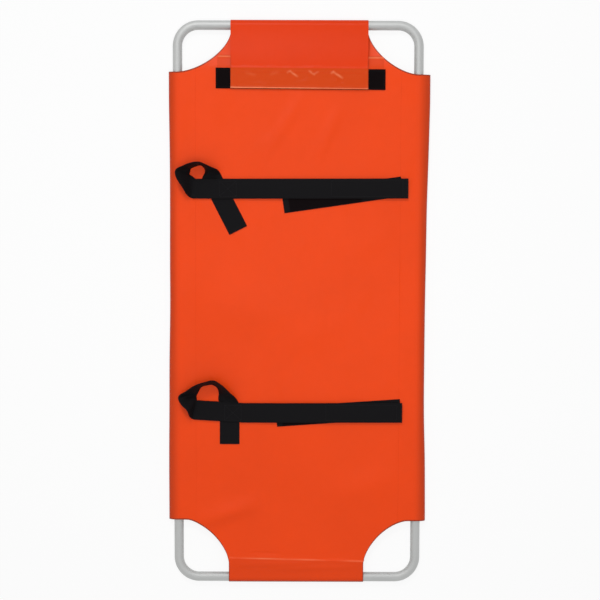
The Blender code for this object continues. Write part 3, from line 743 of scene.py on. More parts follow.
def webbing_finish(name, colour, rib_pitch):
    """Woven polyester webbing: lengthwise ribs, each a row of slanted picks, with a little fuzz."""
    finish = Finish(name, colour, 0.62, specular=0.09)
    vector, along, across = finish.along_and_across()
    turn = 2 * math.pi / rib_pitch
    rib = abs(finish.sine(across * (turn / 2)))
    slant = finish.sine(along * (turn * 0.9) + finish.sine(across * (turn / 2)) * 2.2)
    fuzz = finish.noise(vector, 2600.0)
    weave = rib * 0.6 + slant * 0.22 + fuzz * 0.3
    tone = finish.clamped(weave, 0.1, 0.9)
    finish.feed("Base Color", finish.mixed(tone, tinted(colour, 0.7), tinted(colour, 1.35)))
    finish.feed("Roughness", 0.55 + fuzz * 0.2)
    finish.relief(weave, 0.0003)
    return finish.material


def hook_finish(name, colour):
    """Hook tape: rows of small stiff hooks on a woven ground."""
    finish = Finish(name, colour, 0.7, specular=0.08)
    vector, along, across = finish.along_and_across()
    turn = 2 * math.pi / HOOK_PITCH
    rows = finish.clamped(finish.sine(along * turn) * finish.sine(across * turn), 0.1, 0.9)
    fuzz = finish.noise(vector, 2200.0)
    tone = finish.clamped(rows * 0.7 + fuzz * 0.3, 0.1, 0.9)
    finish.feed("Base Color", finish.mixed(tone, tinted(colour, 0.6), tinted(colour, 1.8)))
    finish.relief(rows + fuzz * 0.4, 0.0006)
    return finish.material


def loop_finish(name, colour):
    """Loop tape: a soft tangled pile."""
    finish = Finish(name, colour, 0.95, specular=0.05)
    place = finish.place()
    pile = finish.noise(place, 1500.0, detail=4.0, roughness=0.7)
    tufts = finish.cells(place, 900.0)
    tone = finish.clamped(pile, 0.3, 0.7)
    finish.feed("Base Color", finish.mixed(tone, tinted(colour, 0.6), tinted(colour, 1.7)))
    finish.relief(pile + tufts * 0.6, 0.0007)
    return finish.material


def thread_finish(name, colour):
    finish = Finish(name, colour, 0.5, specular=0.14)
    twist = finish.noise(finish.stretched(finish.place(), (1.0, 1.0, 2.0)), 3000.0)
    finish.feed("Roughness", 0.4 + twist * 0.25)
    finish.relief(twist, 0.00008)
    return finish.material


def drawn_finish(name, colour):
    """Satin aluminium tube: fine draw lines along it, and a faint cloud of oxide."""
    finish = Finish(name, colour, 0.62, metallic=1.0)
    vector = finish.node("ShaderNodeAttribute", {"attribute_name": "tube_place"}, {}).outputs["Vector"]
    lines = finish.noise(finish.stretched(vector, (0.03, 1.0, 1.0)), 900.0, detail=3.0)
    cloud = finish.noise(finish.place(), 30.0, detail=3.0)
    tone = finish.clamped(lines * 0.5 + cloud * 0.5, 0.35, 0.65)
    finish.feed("Base Color", finish.mixed(tone, tinted(colour, 0.95), tinted(colour, 1.04)))
    finish.feed("Roughness", 0.56 + lines * 0.08 + cloud * 0.08)
    finish.relief(lines, 0.00002)
    return finish.material


def turned_finish(name, colour, roughness):
    """Small metal fittings: a fine scratch pattern and slight stains."""
    finish = Finish(name, colour, roughness, metallic=1.0)
    place = finish.place()
    scratches = finish.noise(finish.stretched(place, (1.0, 0.15, 1.0)), 5000.0, detail=3.0)
    stain = finish.noise(place, 240.0, detail=3.0)
    finish.feed("Base Color", finish.mixed(stain, tinted(colour, 0.86), tinted(colour, 1.05)))
    finish.feed("Roughness", roughness - 0.08 + scratches * 0.16)
    finish.relief(scratches, 0.00002)
    return finish.material


# Meshes


def deselect_all():
    bpy.ops.object.select_all(action="DESELECT")


def only(piece):
    """Makes a piece the one selected and active object."""
    deselect_all()
    piece.select_set(True)
    bpy.context.view_layer.objects.active = piece


def apply_modifier(piece, name, kind, **settings):
    only(piece)
    modifier = piece.modifiers.new(name, kind)
    for setting, value in settings.items():
        setattr(modifier, setting, value)
    bpy.ops.object.modifier_apply(modifier=modifier.name)


def add_sheet(name, columns, rows, place, flat, keep=None, marks=None):
    """A grid whose corner (column, row) lies at place(column, row).

    flat(column, row) is where that corner lies on the cut cloth, in metres; keep(column, row) says which
    cells of the grid the cloth has; marks are numbers that the cloth keeps at its corners for its finish,
    each a name with a function of (column, row).
    """
    deselect_all()
    bpy.ops.mesh.primitive_grid_add(x_subdivisions=columns, y_subdivisions=rows, size=2.0)
    piece = bpy.context.object
    piece.name = piece.data.name = name
    mesh = piece.data
    corners = []
    for vertex in mesh.vertices:
        column = round((vertex.co.x + 1) / 2 * columns)
        row = round((vertex.co.y + 1) / 2 * rows)
        corners.append((column, row))
    cut_out = []
    if keep:
        for face in mesh.polygons:
            column = min(corners[v][0] for v in face.vertices)
            row = min(corners[v][1] for v in face.vertices)
            if not keep(column, row):
                cut_out.append(face.index)
    layer = mesh.uv_layers["UVMap"].data
    for loop in mesh.loops:
        layer[loop.index].uv = flat(*corners[loop.vertex_index])
    for vertex, corner in zip(mesh.vertices, corners):
        vertex.co = place(*corner)
    for mark, value in (marks or {}).items():
        attribute = mesh.attributes.new(mark, "FLOAT", "POINT")
        attribute.data.foreach_set("value", [value(*corner) for corner in corners])
    if cut_out:
        shape = bmesh.new()
        shape.from_mesh(mesh)
        shape.faces.ensure_lookup_table()
        bmesh.ops.delete(shape, geom=[shape.faces[k] for k in cut_out], context="FACES")
        shape.to_mesh(mesh)
        shape.free()
    return piece


def thicken(piece, thickness, surface, edge=None):
    """Gives a sheet its thickness and finish, with its own finish for the cut edges."""
    piece.data.materials.clear()
    piece.data.materials.append(surface)
    rim = 0
    if edge:
        piece.data.materials.append(edge)
        rim = 1
    apply_modifier(
        piece,
        "Thickness",
        "SOLIDIFY",
        thickness=thickness,
        offset=0.0,
        use_even_offset=True,
        material_offset_rim=rim,
    )
    shade(piece)


def add_webbing(name, columns, place, flat, thickness, surface):
    """A strap of webbing. place and flat take a column and a share of the way across the strap.

    It is thinner towards its two woven edges, which rounds them.
    """

    def place_row(column, row):
        return place(column, STRAP_SHARES[row])

    def flat_row(column, row):
        return flat(column, STRAP_SHARES[row])

    def fullness(column, row):
        return STRAP_FULLNESS[row]

    marks = {"fullness": fullness}
    strap = add_sheet(name, columns, len(STRAP_SHARES) - 1, place_row, flat_row, marks=marks)
    group = strap.vertex_groups.new(name="fullness")
    for index, point in enumerate(strap.data.attributes["fullness"].data):
        group.add([index], point.value, "REPLACE")
    strap.data.materials.clear()
    strap.data.materials.append(surface)
    apply_modifier(
        strap,
        "Thickness",
        "SOLIDIFY",
        thickness=thickness,
        offset=0.0,
        use_even_offset=True,
        vertex_group=group.name,
    )
    shade(strap)
    return strap


def shade(piece):
    only(piece)
    bpy.ops.object.shade_smooth_by_angle(angle=math.radians(38))


def belongs(piece, body, slot, *nodes):
    """The piece moves with a body and stands for nodes of the frame model; its slot is not used."""
    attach(piece, body)
    if nodes:
        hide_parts(*nodes)


def add_stitches(name, runs, material, settings):
    """Rows of stitches along runs of points that lie on a surface, each a small lengthwise bead of thread."""
    deselect_all()
    radius = settings.thread_diameter / 2
    bpy.ops.mesh.primitive_uv_sphere_add(segments=6, ring_count=4, radius=radius)
    bead = bpy.context.object
    half_length = STITCH_SHARE / 2 * settings.stitch_length
    bead.data.transform(Matrix.Diagonal((half_length / radius, 1.0, STITCH_FLATNESS, 1.0)))
    copies = []
    for run in runs:
        length = path_length(run)
        count = max(round(length / settings.stitch_length), 1)
        for k in range(count):
            here = point_along(run, (k + 0.5) / count)
            ahead = point_along(run, min((k + 0.7) / count, 1.0))
            turn = (ahead - here).to_track_quat("X", "Z").to_matrix().to_4x4()
            copy = bead.copy()
            copy.data = bead.data.copy()
            copy.data.transform(Matrix.Translation(here) @ turn)
            bpy.context.scene.collection.objects.link(copy)
            copies.append(copy)
    bpy.data.objects.remove(bead)
    deselect_all()
    for copy in copies:
        copy.select_set(True)
    bpy.context.view_layer.objects.active = copies[0]
    bpy.ops.object.join()
    piece = bpy.context.object
    piece.name = piece.data.name = name
    piece.data.materials.clear()
    piece.data.materials.append(material)
    shade(piece)
    return piece


def point_along(points, share):
    """The point at a share of a run's length."""
    points = [Vector(point) for point in points]
    left = share * path_length(points)
    for start, end in zip(points, points[1:]):
        step = (end - start).length
        if left <= step and step > 0:
            return start.lerp(end, left / step)
        left -= step
    return points[-1]


def box_stitch(spot, half_length, half_width):
    """Runs for a sewn box with a cross in it. spot(along, across) gives points on the cloth."""
    corners = [(-half_length, -half_width), (half_length, -half_width)]
    corners += [(half_length, half_width), (-half_length, half_width)]
    lines = list(zip(corners, corners[1:] + corners[:1]))
    lines += [(corners[0], corners[2]), (corners[1], corners[3])]
    runs = []
    for start, end in lines:
        run = []
        for share in spread(0, 1, 8):
            run.append(spot(blend(start[0], end[0], share), blend(start[1], end[1], share)))
        runs.append(run)
    return runs


def through(points, steps):
    """A smooth curve through the points, with steps - 1 new ones between each two (Catmull-Rom)."""
    points = [Vector(point) for point in points]
    ends = [2 * points[0] - points[1], *points, 2 * points[-1] - points[-2]]
    curve = []
    for before, start, end, after in zip(ends, ends[1:], ends[2:], ends[3:]):
        for k in range(steps):
            t = k / steps
            tangent = (end - before) * t
            bend = (2 * before - 5 * start + 4 * end - after) * t**2
            twist = (3 * start - 3 * end + after - before) * t**3
            curve.append((2 * start + tangent + bend + twist) / 2)
    return curve + [points[-1]]


# The stage

TARGET = (0.0049, 0.0097, 0.0105)  # what the camera looks at
CAMERA_DISTANCE = 3.0
CAMERA_TILT = 0.07533
CAMERA_ROLL = 0.00268
LENS = 88.503
FLOOR_DROP = 0.0002  # keeps the floor just clear of the stretcher's underside
FLOOR_GLOW = (0.86, 0.40)  # share of plain white in the floor, as the camera and as a mirror sees it
SURROUNDINGS_GLOW = (1.0, 0.80)  # strength of the white all round, seen in the same two ways
OVERHEAD_GAIN = 1.5  # straight above, the even light is that much stronger than its setting
KEY_SPOT = (-0.50, 2.1, 2.7)
KEY_SIZE = 0.5
FILL_SPOT = (0.0, 0.05, 1.8)
FILL_SIZE = 1.0


class STRETCHER_OT_stage(bpy.types.Operator):
    """Add the floor, the lights and the camera"""

    bl_idname = "stretcher.stage"
    bl_label = "Stage"
    bl_options = {"REGISTER", "UNDO"}

    def execute(self, context):
        settings = context.scene.stretcher_stage
        context.scene.view_settings.view_transform = "Standard"
        self.add_floor(settings)
        self.light_world(context, settings)
        self.add_lamps(settings)
        self.add_camera(context)
        return {"FINISHED"}

    def add_floor(self, settings):
        deselect_all()
        bpy.ops.mesh.primitive_plane_add(size=settings.floor_size, location=(0, 0, -FLOOR_DROP))
        bpy.ops.object.transform_apply()
        floor = bpy.context.object
        floor.name = "floor"
        finish = Finish("pale_floor", settings.floor_colour, 0.9, specular=0.0)
        glow = finish.node("ShaderNodeEmission", {}, {"Color": (1.0, 1.0, 1.0, 1.0), "Strength": 1.0})
        share = seen_directly(finish, *FLOOR_GLOW)
        shaders = {0: share, 1: finish.shader.outputs[0], 2: glow.outputs[0]}
        mix = finish.node("ShaderNodeMixShader", {}, shaders)
        finish.tree.links.new(mix.outputs[0], finish.tree.nodes["Material Output"].inputs["Surface"])
        floor.data.materials.append(finish.material)

    def light_world(self, context, settings):
        world = bpy.data.worlds.new("pale_surroundings")
        context.scene.world = world
        world.use_nodes = True
        surroundings = WorldFinish(world)
        seen = seen_directly(surroundings, *SURROUNDINGS_GLOW)
        direction = surroundings.node("ShaderNodeTexCoord", {}, {}).outputs["Generated"]
        parts = surroundings.node("ShaderNodeSeparateXYZ", {}, {0: direction}).outputs
        height = Signal(surroundings, parts["Z"])
        overhead = surroundings.clamped(height, -0.1, 0.9) * settings.ambient * OVERHEAD_GAIN
        strength = surroundings.maths("MAXIMUM", seen, overhead)
        background = world.node_tree.nodes["Background"]
        background.inputs["Color"].default_value = (1.0, 1.0, 1.0, 1.0)
        world.node_tree.links.new(strength.socket, background.inputs["Strength"])

    def add_lamps(self, settings):
        for name, spot, size, power, mirrored in (
            ("key_lamp", KEY_SPOT, KEY_SIZE, settings.key_power, True),
            ("fill_lamp", FILL_SPOT, FILL_SIZE, settings.fill_power, False),
        ):
            deselect_all()
            bpy.ops.object.light_add(type="AREA", location=spot)
            lamp = bpy.context.object
            lamp.name = name
            lamp.data.size = size
            lamp.data.energy = power
            lamp.visible_camera = False
            lamp.visible_glossy = mirrored
            lamp.rotation_euler = (Vector((0, 0, 0)) - Vector(spot)).to_track_quat("-Z", "Y").to_euler()

    def add_camera(self, context):
        back = Vector((0, math.sin(CAMERA_TILT), math.cos(CAMERA_TILT)))
        up = Vector((0, math.cos(CAMERA_TILT), -math.sin(CAMERA_TILT)))
        right = Vector((1, 0, 0))
        rolled_right = right * math.cos(CAMERA_ROLL) + up * math.sin(CAMERA_ROLL)
        rolled_up = up * math.cos(CAMERA_ROLL) - right * math.sin(CAMERA_ROLL)
        deselect_all()
        bpy.ops.object.camera_add(location=Vector(TARGET) + back * CAMERA_DISTANCE)
        camera = bpy.context.object
        camera.name = "photo_camera"
        turn = Matrix((rolled_right, rolled_up, back)).transposed()
        camera.rotation_euler = turn.to_euler()
        camera.data.sensor_width = 36.0
        camera.data.lens = LENS
        context.scene.camera = camera


class WorldFinish(Finish):
    """The same calls on a world's node tree."""

    def __init__(self, world):
        self.tree = world.node_tree


def seen_directly(finish, to_camera, to_mirror):
    """One value where the camera sees a surface, and another where a reflection does.

    It is 0 where the surface only lights others.
    """
    rays = finish.node("ShaderNodeLightPath", {}, {}).outputs
    by_mirror = Signal(finish, rays["Is Glossy Ray"]) * to_mirror
    return finish.maths("MAXIMUM", Signal(finish, rays["Is Camera Ray"]) * to_camera, by_mirror)


# The frame


def turn_ring(angle, centre):
    """Spins the selected ring about an upright line, anticlockwise from above for a positive angle."""
    bpy.ops.mesh.spin(steps=BEND_STEPS, angle=-angle, center=centre, axis=(0, 0, 1))


def push_ring(x, y):
    bpy.ops.mesh.extrude_region_move(TRANSFORM_OT_translate={"value": (x, y, 0)})


def add_half_frame(name, end, settings):
    """One U-shaped half of the frame tube, at the head (end = 1) or the foot (end = -1)."""
    bend_x = RAIL_X - CORNER_RADIUS
    bend_y = END_Y - CORNER_RADIUS
    straight = bend_y - HALVES_GAP / 2
    deselect_all()
    bpy.ops.mesh.primitive_circle_add(
        vertices=TUBE_SIDES,
        radius=settings.tube_diameter / 2,
        fill_type="NOTHING",
        location=(RAIL_X, end * HALVES_GAP / 2, TUBE_Z),
        rotation=(math.pi / 2, 0, 0),
    )
    tube = bpy.context.object
    tube.name = tube.data.name = name
    bpy.ops.object.transform_apply()
    bpy.ops.object.mode_set(mode="EDIT")
    bpy.ops.mesh.select_all(action="SELECT")
    push_ring(0, end * straight)
    turn_ring(end * math.pi / 2, (bend_x, end * bend_y, TUBE_Z))
    push_ring(-2 * bend_x, 0)
    turn_ring(end * math.pi / 2, (-bend_x, end * bend_y, TUBE_Z))
    push_ring(0, -end * straight)
    bpy.ops.mesh.select_all(action="SELECT")
    bpy.ops.mesh.remove_doubles(threshold=MERGE_DISTANCE)
    bpy.ops.mesh.normals_make_consistent(inside=False)
    bpy.ops.object.mode_set(mode="OBJECT")
    apply_modifier(tube, "Wall", "SOLIDIFY", thickness=settings.tube_wall, offset=-1.0, use_even_offset=True)
    return tube


def drill(tube, side, y, diameter, start, end):
    """Cuts a round hole into a rail, across it, from start to end past its axis."""
    deselect_all()
    bpy.ops.mesh.primitive_cylinder_add(
        vertices=HOLE_SIDES,
        radius=diameter / 2,
        depth=end - start,
        location=(side * (RAIL_X + (start + end) / 2), y, TUBE_Z),
        rotation=(0, math.pi / 2, 0),
    )
    drill_bit = bpy.context.object
    apply_modifier(tube, "Hole", "BOOLEAN", operation="DIFFERENCE", solver="EXACT", object=drill_bit)
    bpy.data.objects.remove(drill_bit)


def mark_tube_places(tube):
    """Keeps, at each point of a tube, how far along and in which direction from its axis the point lies."""
    bend_x = RAIL_X - CORNER_RADIUS
    bend_y = END_Y - CORNER_RADIUS
    values = []
    for vertex in tube.data.vertices:
        x, y, z = vertex.co
        side_x, side_y = abs(x), abs(y)
        if side_x > bend_x and side_y > bend_y:
            angle = math.atan2(side_y - bend_y, side_x - bend_x)
            along = bend_y + CORNER_RADIUS * angle
            out = math.hypot(side_x - bend_x, side_y - bend_y) - CORNER_RADIUS
        elif side_y > bend_y:
            along = bend_y + CORNER_RADIUS * math.pi / 2 + bend_x - side_x
            out = side_y - END_Y
        else:
            along = side_y
            out = side_x - RAIL_X
        values += [along, out, z - TUBE_Z]
    attribute = tube.data.attributes.new("tube_place", "FLOAT_VECTOR", "POINT")
    attribute.data.foreach_set("vector", values)


class STRETCHER_OT_frame(bpy.types.Operator):
    """Add the two halves of the tube frame"""

    bl_idname = "stretcher.frame"
    bl_label = "Frame tubes"
    bl_options = {"REGISTER", "UNDO"}

    def execute(self, context):
        settings = context.scene.stretcher_frame
        finish = drawn_finish("satin_aluminium_tube", settings.tube_colour)
        head = add_half_frame("head_tube", 1, settings)
        foot = add_half_frame("foot_tube", -1, settings)
        past = settings.tube_diameter
        for side in (-1, 1):
            drill(head, side, BUTTON_INSET, BUTTON_HOLE_DIAMETER, 0.0, past)
            for inset in RIVET_INSETS:
                drill(foot, side, -inset, RIVET_HOLE_DIAMETER, -past, past)
        for tube, node in ((head, "head_frame_tube"), (foot, "foot_frame_tube")):
            mark_tube_places(tube)
            tube.data.materials.clear()
            tube.data.materials.append(finish)
            shade(tube)
            belongs(tube, "stretcher", "aluminium_tube", node)
        return {"FINISHED"}


class STRETCHER_OT_fittings(bpy.types.Operator):
    """Finish the inner sleeves, rivets and snap buttons, and add copies of the button springs as clips"""

    bl_idname = "stretcher.fittings"
    bl_label = "Frame fittings"
    bl_options = {"REGISTER", "UNDO"}

    def execute(self, context):
        settings = context.scene.stretcher_frame
        sleeve = turned_finish("bare_aluminium", tinted(settings.tube_colour, 0.85), 0.36)
        rivet = turned_finish("rivet_aluminium", tinted(settings.tube_colour, 0.75), 0.3)
        button = turned_finish("polished_steel", settings.steel_colour, 0.22)
        clip = turned_finish("spring_steel", tinted(settings.steel_colour, 0.6), 0.3)
        finishes = {"frame_spigot": sleeve, "spigot_rivet_1": rivet, "spigot_rivet_2": rivet}
        finishes.update({"snap_button": button, "button_spring": clip})
        for side_name, side in (("left_", -1), ("right_", 1)):
            for name, finish in finishes.items():
                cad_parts[side_name + name].material_slots[0].material = finish
            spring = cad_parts[side_name + "button_spring"]
            folded = bpy.data.objects.new(side_name + "clip", spring.data.copy())
            context.scene.collection.objects.link(folded)
            only(folded)
            bpy.ops.object.mode_set(mode="EDIT")
            bpy.ops.mesh.select_all(action="SELECT")
            bpy.ops.mesh.remove_doubles(threshold=MERGE_DISTANCE)
            bpy.ops.object.mode_set(mode="OBJECT")
            shade(folded)
            belongs(folded, "stretcher", "spring_steel", side_name + "button_spring")
            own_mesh(folded)
        return {"FINISHED"}


# The cover


def sleeve_profile():
    """The sheet from its hem under the bed to a tube's underside: (distance past the tube's axis, z)."""
    profile = [(-SEAM_INSET - HEM_WIDTH, HEM_Z), (-SEAM_INSET - HEM_WIDTH / 2, HEM_Z)]
    for share in spread(0, 1, RETURN_STEPS):
        profile.append((blend(-SEAM_INSET, -RETURN_INSET, share), blend(HEM_Z, FLOOR_Z, smooth(share))))
    return profile


def side_profile():
    """Right half of the cover's cross-section from its hem, round the rail, to the rail's top."""
    profile = [(RAIL_X + offset, z) for offset, z in sleeve_profile()]
    fold_width = COVER_HALF_WIDTH - VINYL / 2 - RAIL_X
    for angle in spread(-math.pi / 2, math.pi / 2, FOLD_STEPS):
        profile.append((RAIL_X + fold_width * math.cos(angle), TUBE_Z + WRAP_RADIUS * math.sin(angle)))
    return profile


def lengths_along(points):
    """How far along a run of points each of them lies."""
    lengths = [0.0]
    for start, end in zip(points, points[1:]):
        lengths.append(lengths[-1] + math.dist(start, end))
    return lengths


class STRETCHER_OT_cover(bpy.types.Operator):
    """Add the vinyl bed with its sleeves round the rails and the foot tube"""

    bl_idname = "stretcher.cover"
    bl_label = "Vinyl bed"
    bl_options = {"REGISTER", "UNDO"}

    def execute(self, context):
        settings = context.scene.stretcher_cover
        wrap = side_profile()
        beside_tongue = []
        for angle in spread(0, math.pi / 2, NOTCH_STEPS)[1:]:
            beside_tongue.append((blend(RAIL_X, TONGUE_X, math.sin(angle)), BED_Z))
        right = wrap + beside_tongue
        inner_x = TONGUE_X - EDGE_BAND
        middle = [(x, BED_Z) for x in spread(inner_x, -inner_x, MIDDLE_STEPS)]
        section = right + middle + [(-x, z) for x, z in reversed(right)]
        first_inner = len(right) - 1
        last_inner = len(section) - len(right)
        on_bed = range(len(wrap) - 1, len(section) - len(wrap) + 1)
        across = lengths_along(section)

        foot_wrap = [(y, BED_Z) for y in spread(FOOT_MOUTH_Y, -END_Y, FOOT_SLEEVE_STEPS)][1:]
        for angle in spread(math.pi / 2, -math.pi / 2, WRAP_STEPS)[1:]:
            foot_wrap.append((-END_Y - WRAP_RADIUS * math.cos(angle), TUBE_Z + WRAP_RADIUS * math.sin(angle)))
        foot_wrap += [(-END_Y - offset, z) for offset, z in reversed(sleeve_profile())]
        head_wrap = spread(HEAD_MOUTH_Y, END_Y, HEAD_SLEEVE_STEPS)[1:]
        foot_shares = edge_spread(FOOT_ROWS)[:-1]
        plain = spread(BED_FOOT_Y, BED_HEAD_Y, PLAIN_ROWS)
        head_shares = [1 - share for share in reversed(edge_spread(HEAD_ROWS))][1:]
        first_bed_row = len(foot_wrap)
        last_bed_row = first_bed_row + len(foot_shares) + len(plain) + len(head_shares) - 1
        rows = last_bed_row + len(head_wrap)

        def bed_y(x, row):
            step = row - first_bed_row
            if step < len(foot_shares):
                return blend(foot_edge_y(x), BED_FOOT_Y, foot_shares[step])
            step -= len(foot_shares)
            if step < len(plain):
                return plain[step]
            return blend(BED_HEAD_Y, head_edge_y(x), head_shares[step - len(plain)])

        def lie(x, y):
            """Height of the bed's middle with its waves, and the step and creases of the foot sleeve."""
            z = bed_z(x, y) + bed_wave(x, y, settings.wave_height)
            if y < FOOT_DETAIL_Y:
                step = smooth((foot_seam_y(x) - y) / FOOT_SEAM_STEP)
                step *= smooth((y + END_Y - FOOT_FADE_START) / FOOT_FADE_LENGTH)
                z += FOOT_SEAM_HEIGHT * step + ridges(x, y, FOOT_CREASES)
            return z

        sways = {}
        for side, offsets in ((-1, LEFT_SLEEVE_SWAY), (1, RIGHT_SLEEVE_SWAY)):
            line = through([(offset, 0, 0) for offset in offsets], SWAY_STEPS)
            sways[side] = [point.x for point in line]

        def sleeve_width(side, y):
            """How wide the sleeve's outer fold is, as a multiple of its usual width."""
            line = sways[side]
            spot = min(max((y - BED_FOOT_Y) / (BED_HEAD_Y - BED_FOOT_Y), 0.0), 0.9999) * (len(line) - 1)
            step = int(spot)
            offset = blend(line[step], line[step + 1], spot - step)
            return 1 + offset / (COVER_HALF_WIDTH - RAIL_X)

        def under(x, y, z):
            """The hems follow the bed's waves, less so the nearer they are to a tube's underside."""
            return z + bed_wave(x, y, settings.wave_height) * smooth((z - FLOOR_Z) / (HEM_Z - FLOOR_Z))

        def place(column, row):
            x, z = section[column]
            if row < first_bed_row:
                y, z = foot_wrap[first_bed_row - 1 - row]
                if z == BED_Z:
                    z = lie(x, y)
                elif y > -END_Y:
                    z = under(x, y, z)
                return (x - FOOT_SHIFT, y, z)
            if row > last_bed_row:
                y = head_wrap[row - last_bed_row - 1]
                return (x + FLAP_SHIFT, y, bed_z(x, y))
            if column in on_bed:
                x, y = askew(x, bed_y(x, row))
                return (x, y, lie(x, y))
            y = askew(x, bed_y(COVER_HALF_WIDTH, row))[1]
            out = abs(x) - RAIL_X
            if out > 0:
                side = 1 if x > 0 else -1
                x = side * (RAIL_X + out * sleeve_width(side, y))
            else:
                z = under(x, y, z)
            return (x, y, z)

        def darkening(column, row):
            """Most at a cut edge; less, as painted shade, on the rails' folds and the foot tube's turn."""
            x = section[column][0]
            if row < first_bed_row or row > last_bed_row:
                turned = 0.0
                if row < first_bed_row:
                    past_axis = -foot_wrap[first_bed_row - 1 - row][0] - END_Y
                    turned = TURN_SHADE * smooth((past_axis / WRAP_RADIUS - 0.5) / 0.45)
                return EDGE_DARKENING if column in (first_inner, last_inner) else turned
            if column in (0, len(section) - 1):
                return EDGE_DARKENING
            flat_x = x if column in on_bed else COVER_HALF_WIDTH
            y = bed_y(flat_x, row)
            from_edge = min(head_edge_y(flat_x) - y, y - foot_edge_y(flat_x))
            if abs(flat_x) < TONGUE_X - EDGE_BAND / 2:
                from_edge = 2 * EDGE_BAND
            fold = smooth((abs(x) - RAIL_X + 0.004) / (COVER_HALF_WIDTH - RAIL_X))
            return max(EDGE_DARKENING * smooth(1.5 - from_edge / EDGE_BAND), FOLD_SHADE * fold)

        def backing_shade(column, row):
            """Painted shade: 1 where the foot sleeve makes the cloth double."""
            if row < first_bed_row:
                return 1.0
            if row > last_bed_row or column not in on_bed:
                return 0.0
            x = section[column][0]
            return smooth((foot_seam_y(x) - bed_y(x, row)) / 0.004)

        def painted_highlight(column, row):
            """A painted highlight along the edge of the foot sleeve's double cloth, stronger in places."""
            if row > first_bed_row + len(foot_shares) or column not in on_bed:
                return 0.0
            x = section[column][0]
            y = foot_wrap[first_bed_row - 1 - row][0] if row < first_bed_row else bed_y(x, row)
            along = 0.30 + 0.25 * math.sin(46 * x + 1.2) * math.sin(19 * x)
            return along * bell(y - foot_seam_y(x) + SEAM_HIGHLIGHT_WIDTH, SEAM_HIGHLIGHT_WIDTH)

        foot_lengths = lengths_along([(FOOT_MOUTH_Y, BED_Z)] + foot_wrap)

        def flat(column, row):
            if row < first_bed_row:
                return (across[column], FOOT_MOUTH_Y - foot_lengths[first_bed_row - row])
            x = section[column][0] if column in on_bed else COVER_HALF_WIDTH
            if row > last_bed_row:
                return (across[column], head_wrap[row - last_bed_row - 1])
            return (across[column], bed_y(x, row))

        def keep(column, row):
            return first_bed_row <= row < last_bed_row or first_inner <= column < last_inner

        marks = {"darkening": darkening, "backing_shade": backing_shade, "painted_highlight": painted_highlight}
        bed = add_sheet("vinyl_bed", len(section) - 1, rows, place, flat, keep, marks)
        edge_colour = settings.edge_colour
        vinyl = vinyl_finish(
            "orange_vinyl", settings.bed_colour, edge_colour, settings.scrim_pitch, BED_SHEEN, BED_DOUBLE_SHADE
        )
        edge = edge_finish("vinyl_cut_edge", edge_colour)
        thicken(bed, settings.thickness, vinyl, edge)
        belongs(bed, "stretcher", "orange_vinyl", "bed_cover")
        self.sew(context, lie, under)
        return {"FINISHED"}

    def sew(self, context, lie, under):
        """The rows of thread that close the sleeves, above and below the double cloth."""
        settings = context.scene.stretcher_straps
        colour = tinted(context.scene.stretcher_cover.bed_colour, 0.9)
        thread = thread_finish("sleeve_thread", colour)
        sunk = settings.thread_diameter / 8
        seam = RAIL_X - SEAM_INSET - HEM_WIDTH / 2
        foot_y = -END_Y + SEAM_INSET + HEM_WIDTH / 2
        lines = []
        for side in (-1, 1):
            x = side * seam
            ys = spread(foot_edge_y(x) + SEAM_END_INSET, head_edge_y(x) - SEAM_END_INSET, 200)
            lines.append([askew(x, y) for y in ys])
        edge = TONGUE_X - SEAM_END_INSET
        lines.append([(x - FOOT_SHIFT, foot_y - FOOT_SEAM_SKEW * x) for x in spread(-edge, edge, 60)])
        runs = []
        for line in lines:
            runs.append([(x, y, lie(x, y) + VINYL / 2 + sunk) for x, y in line])
            runs.append([(x, y, under(x, y, HEM_Z) - VINYL / 2 - sunk) for x, y in line])
        stitches = add_stitches("sleeve_stitches", runs, thread, settings)
        belongs(stitches, "stretcher", "orange_vinyl")


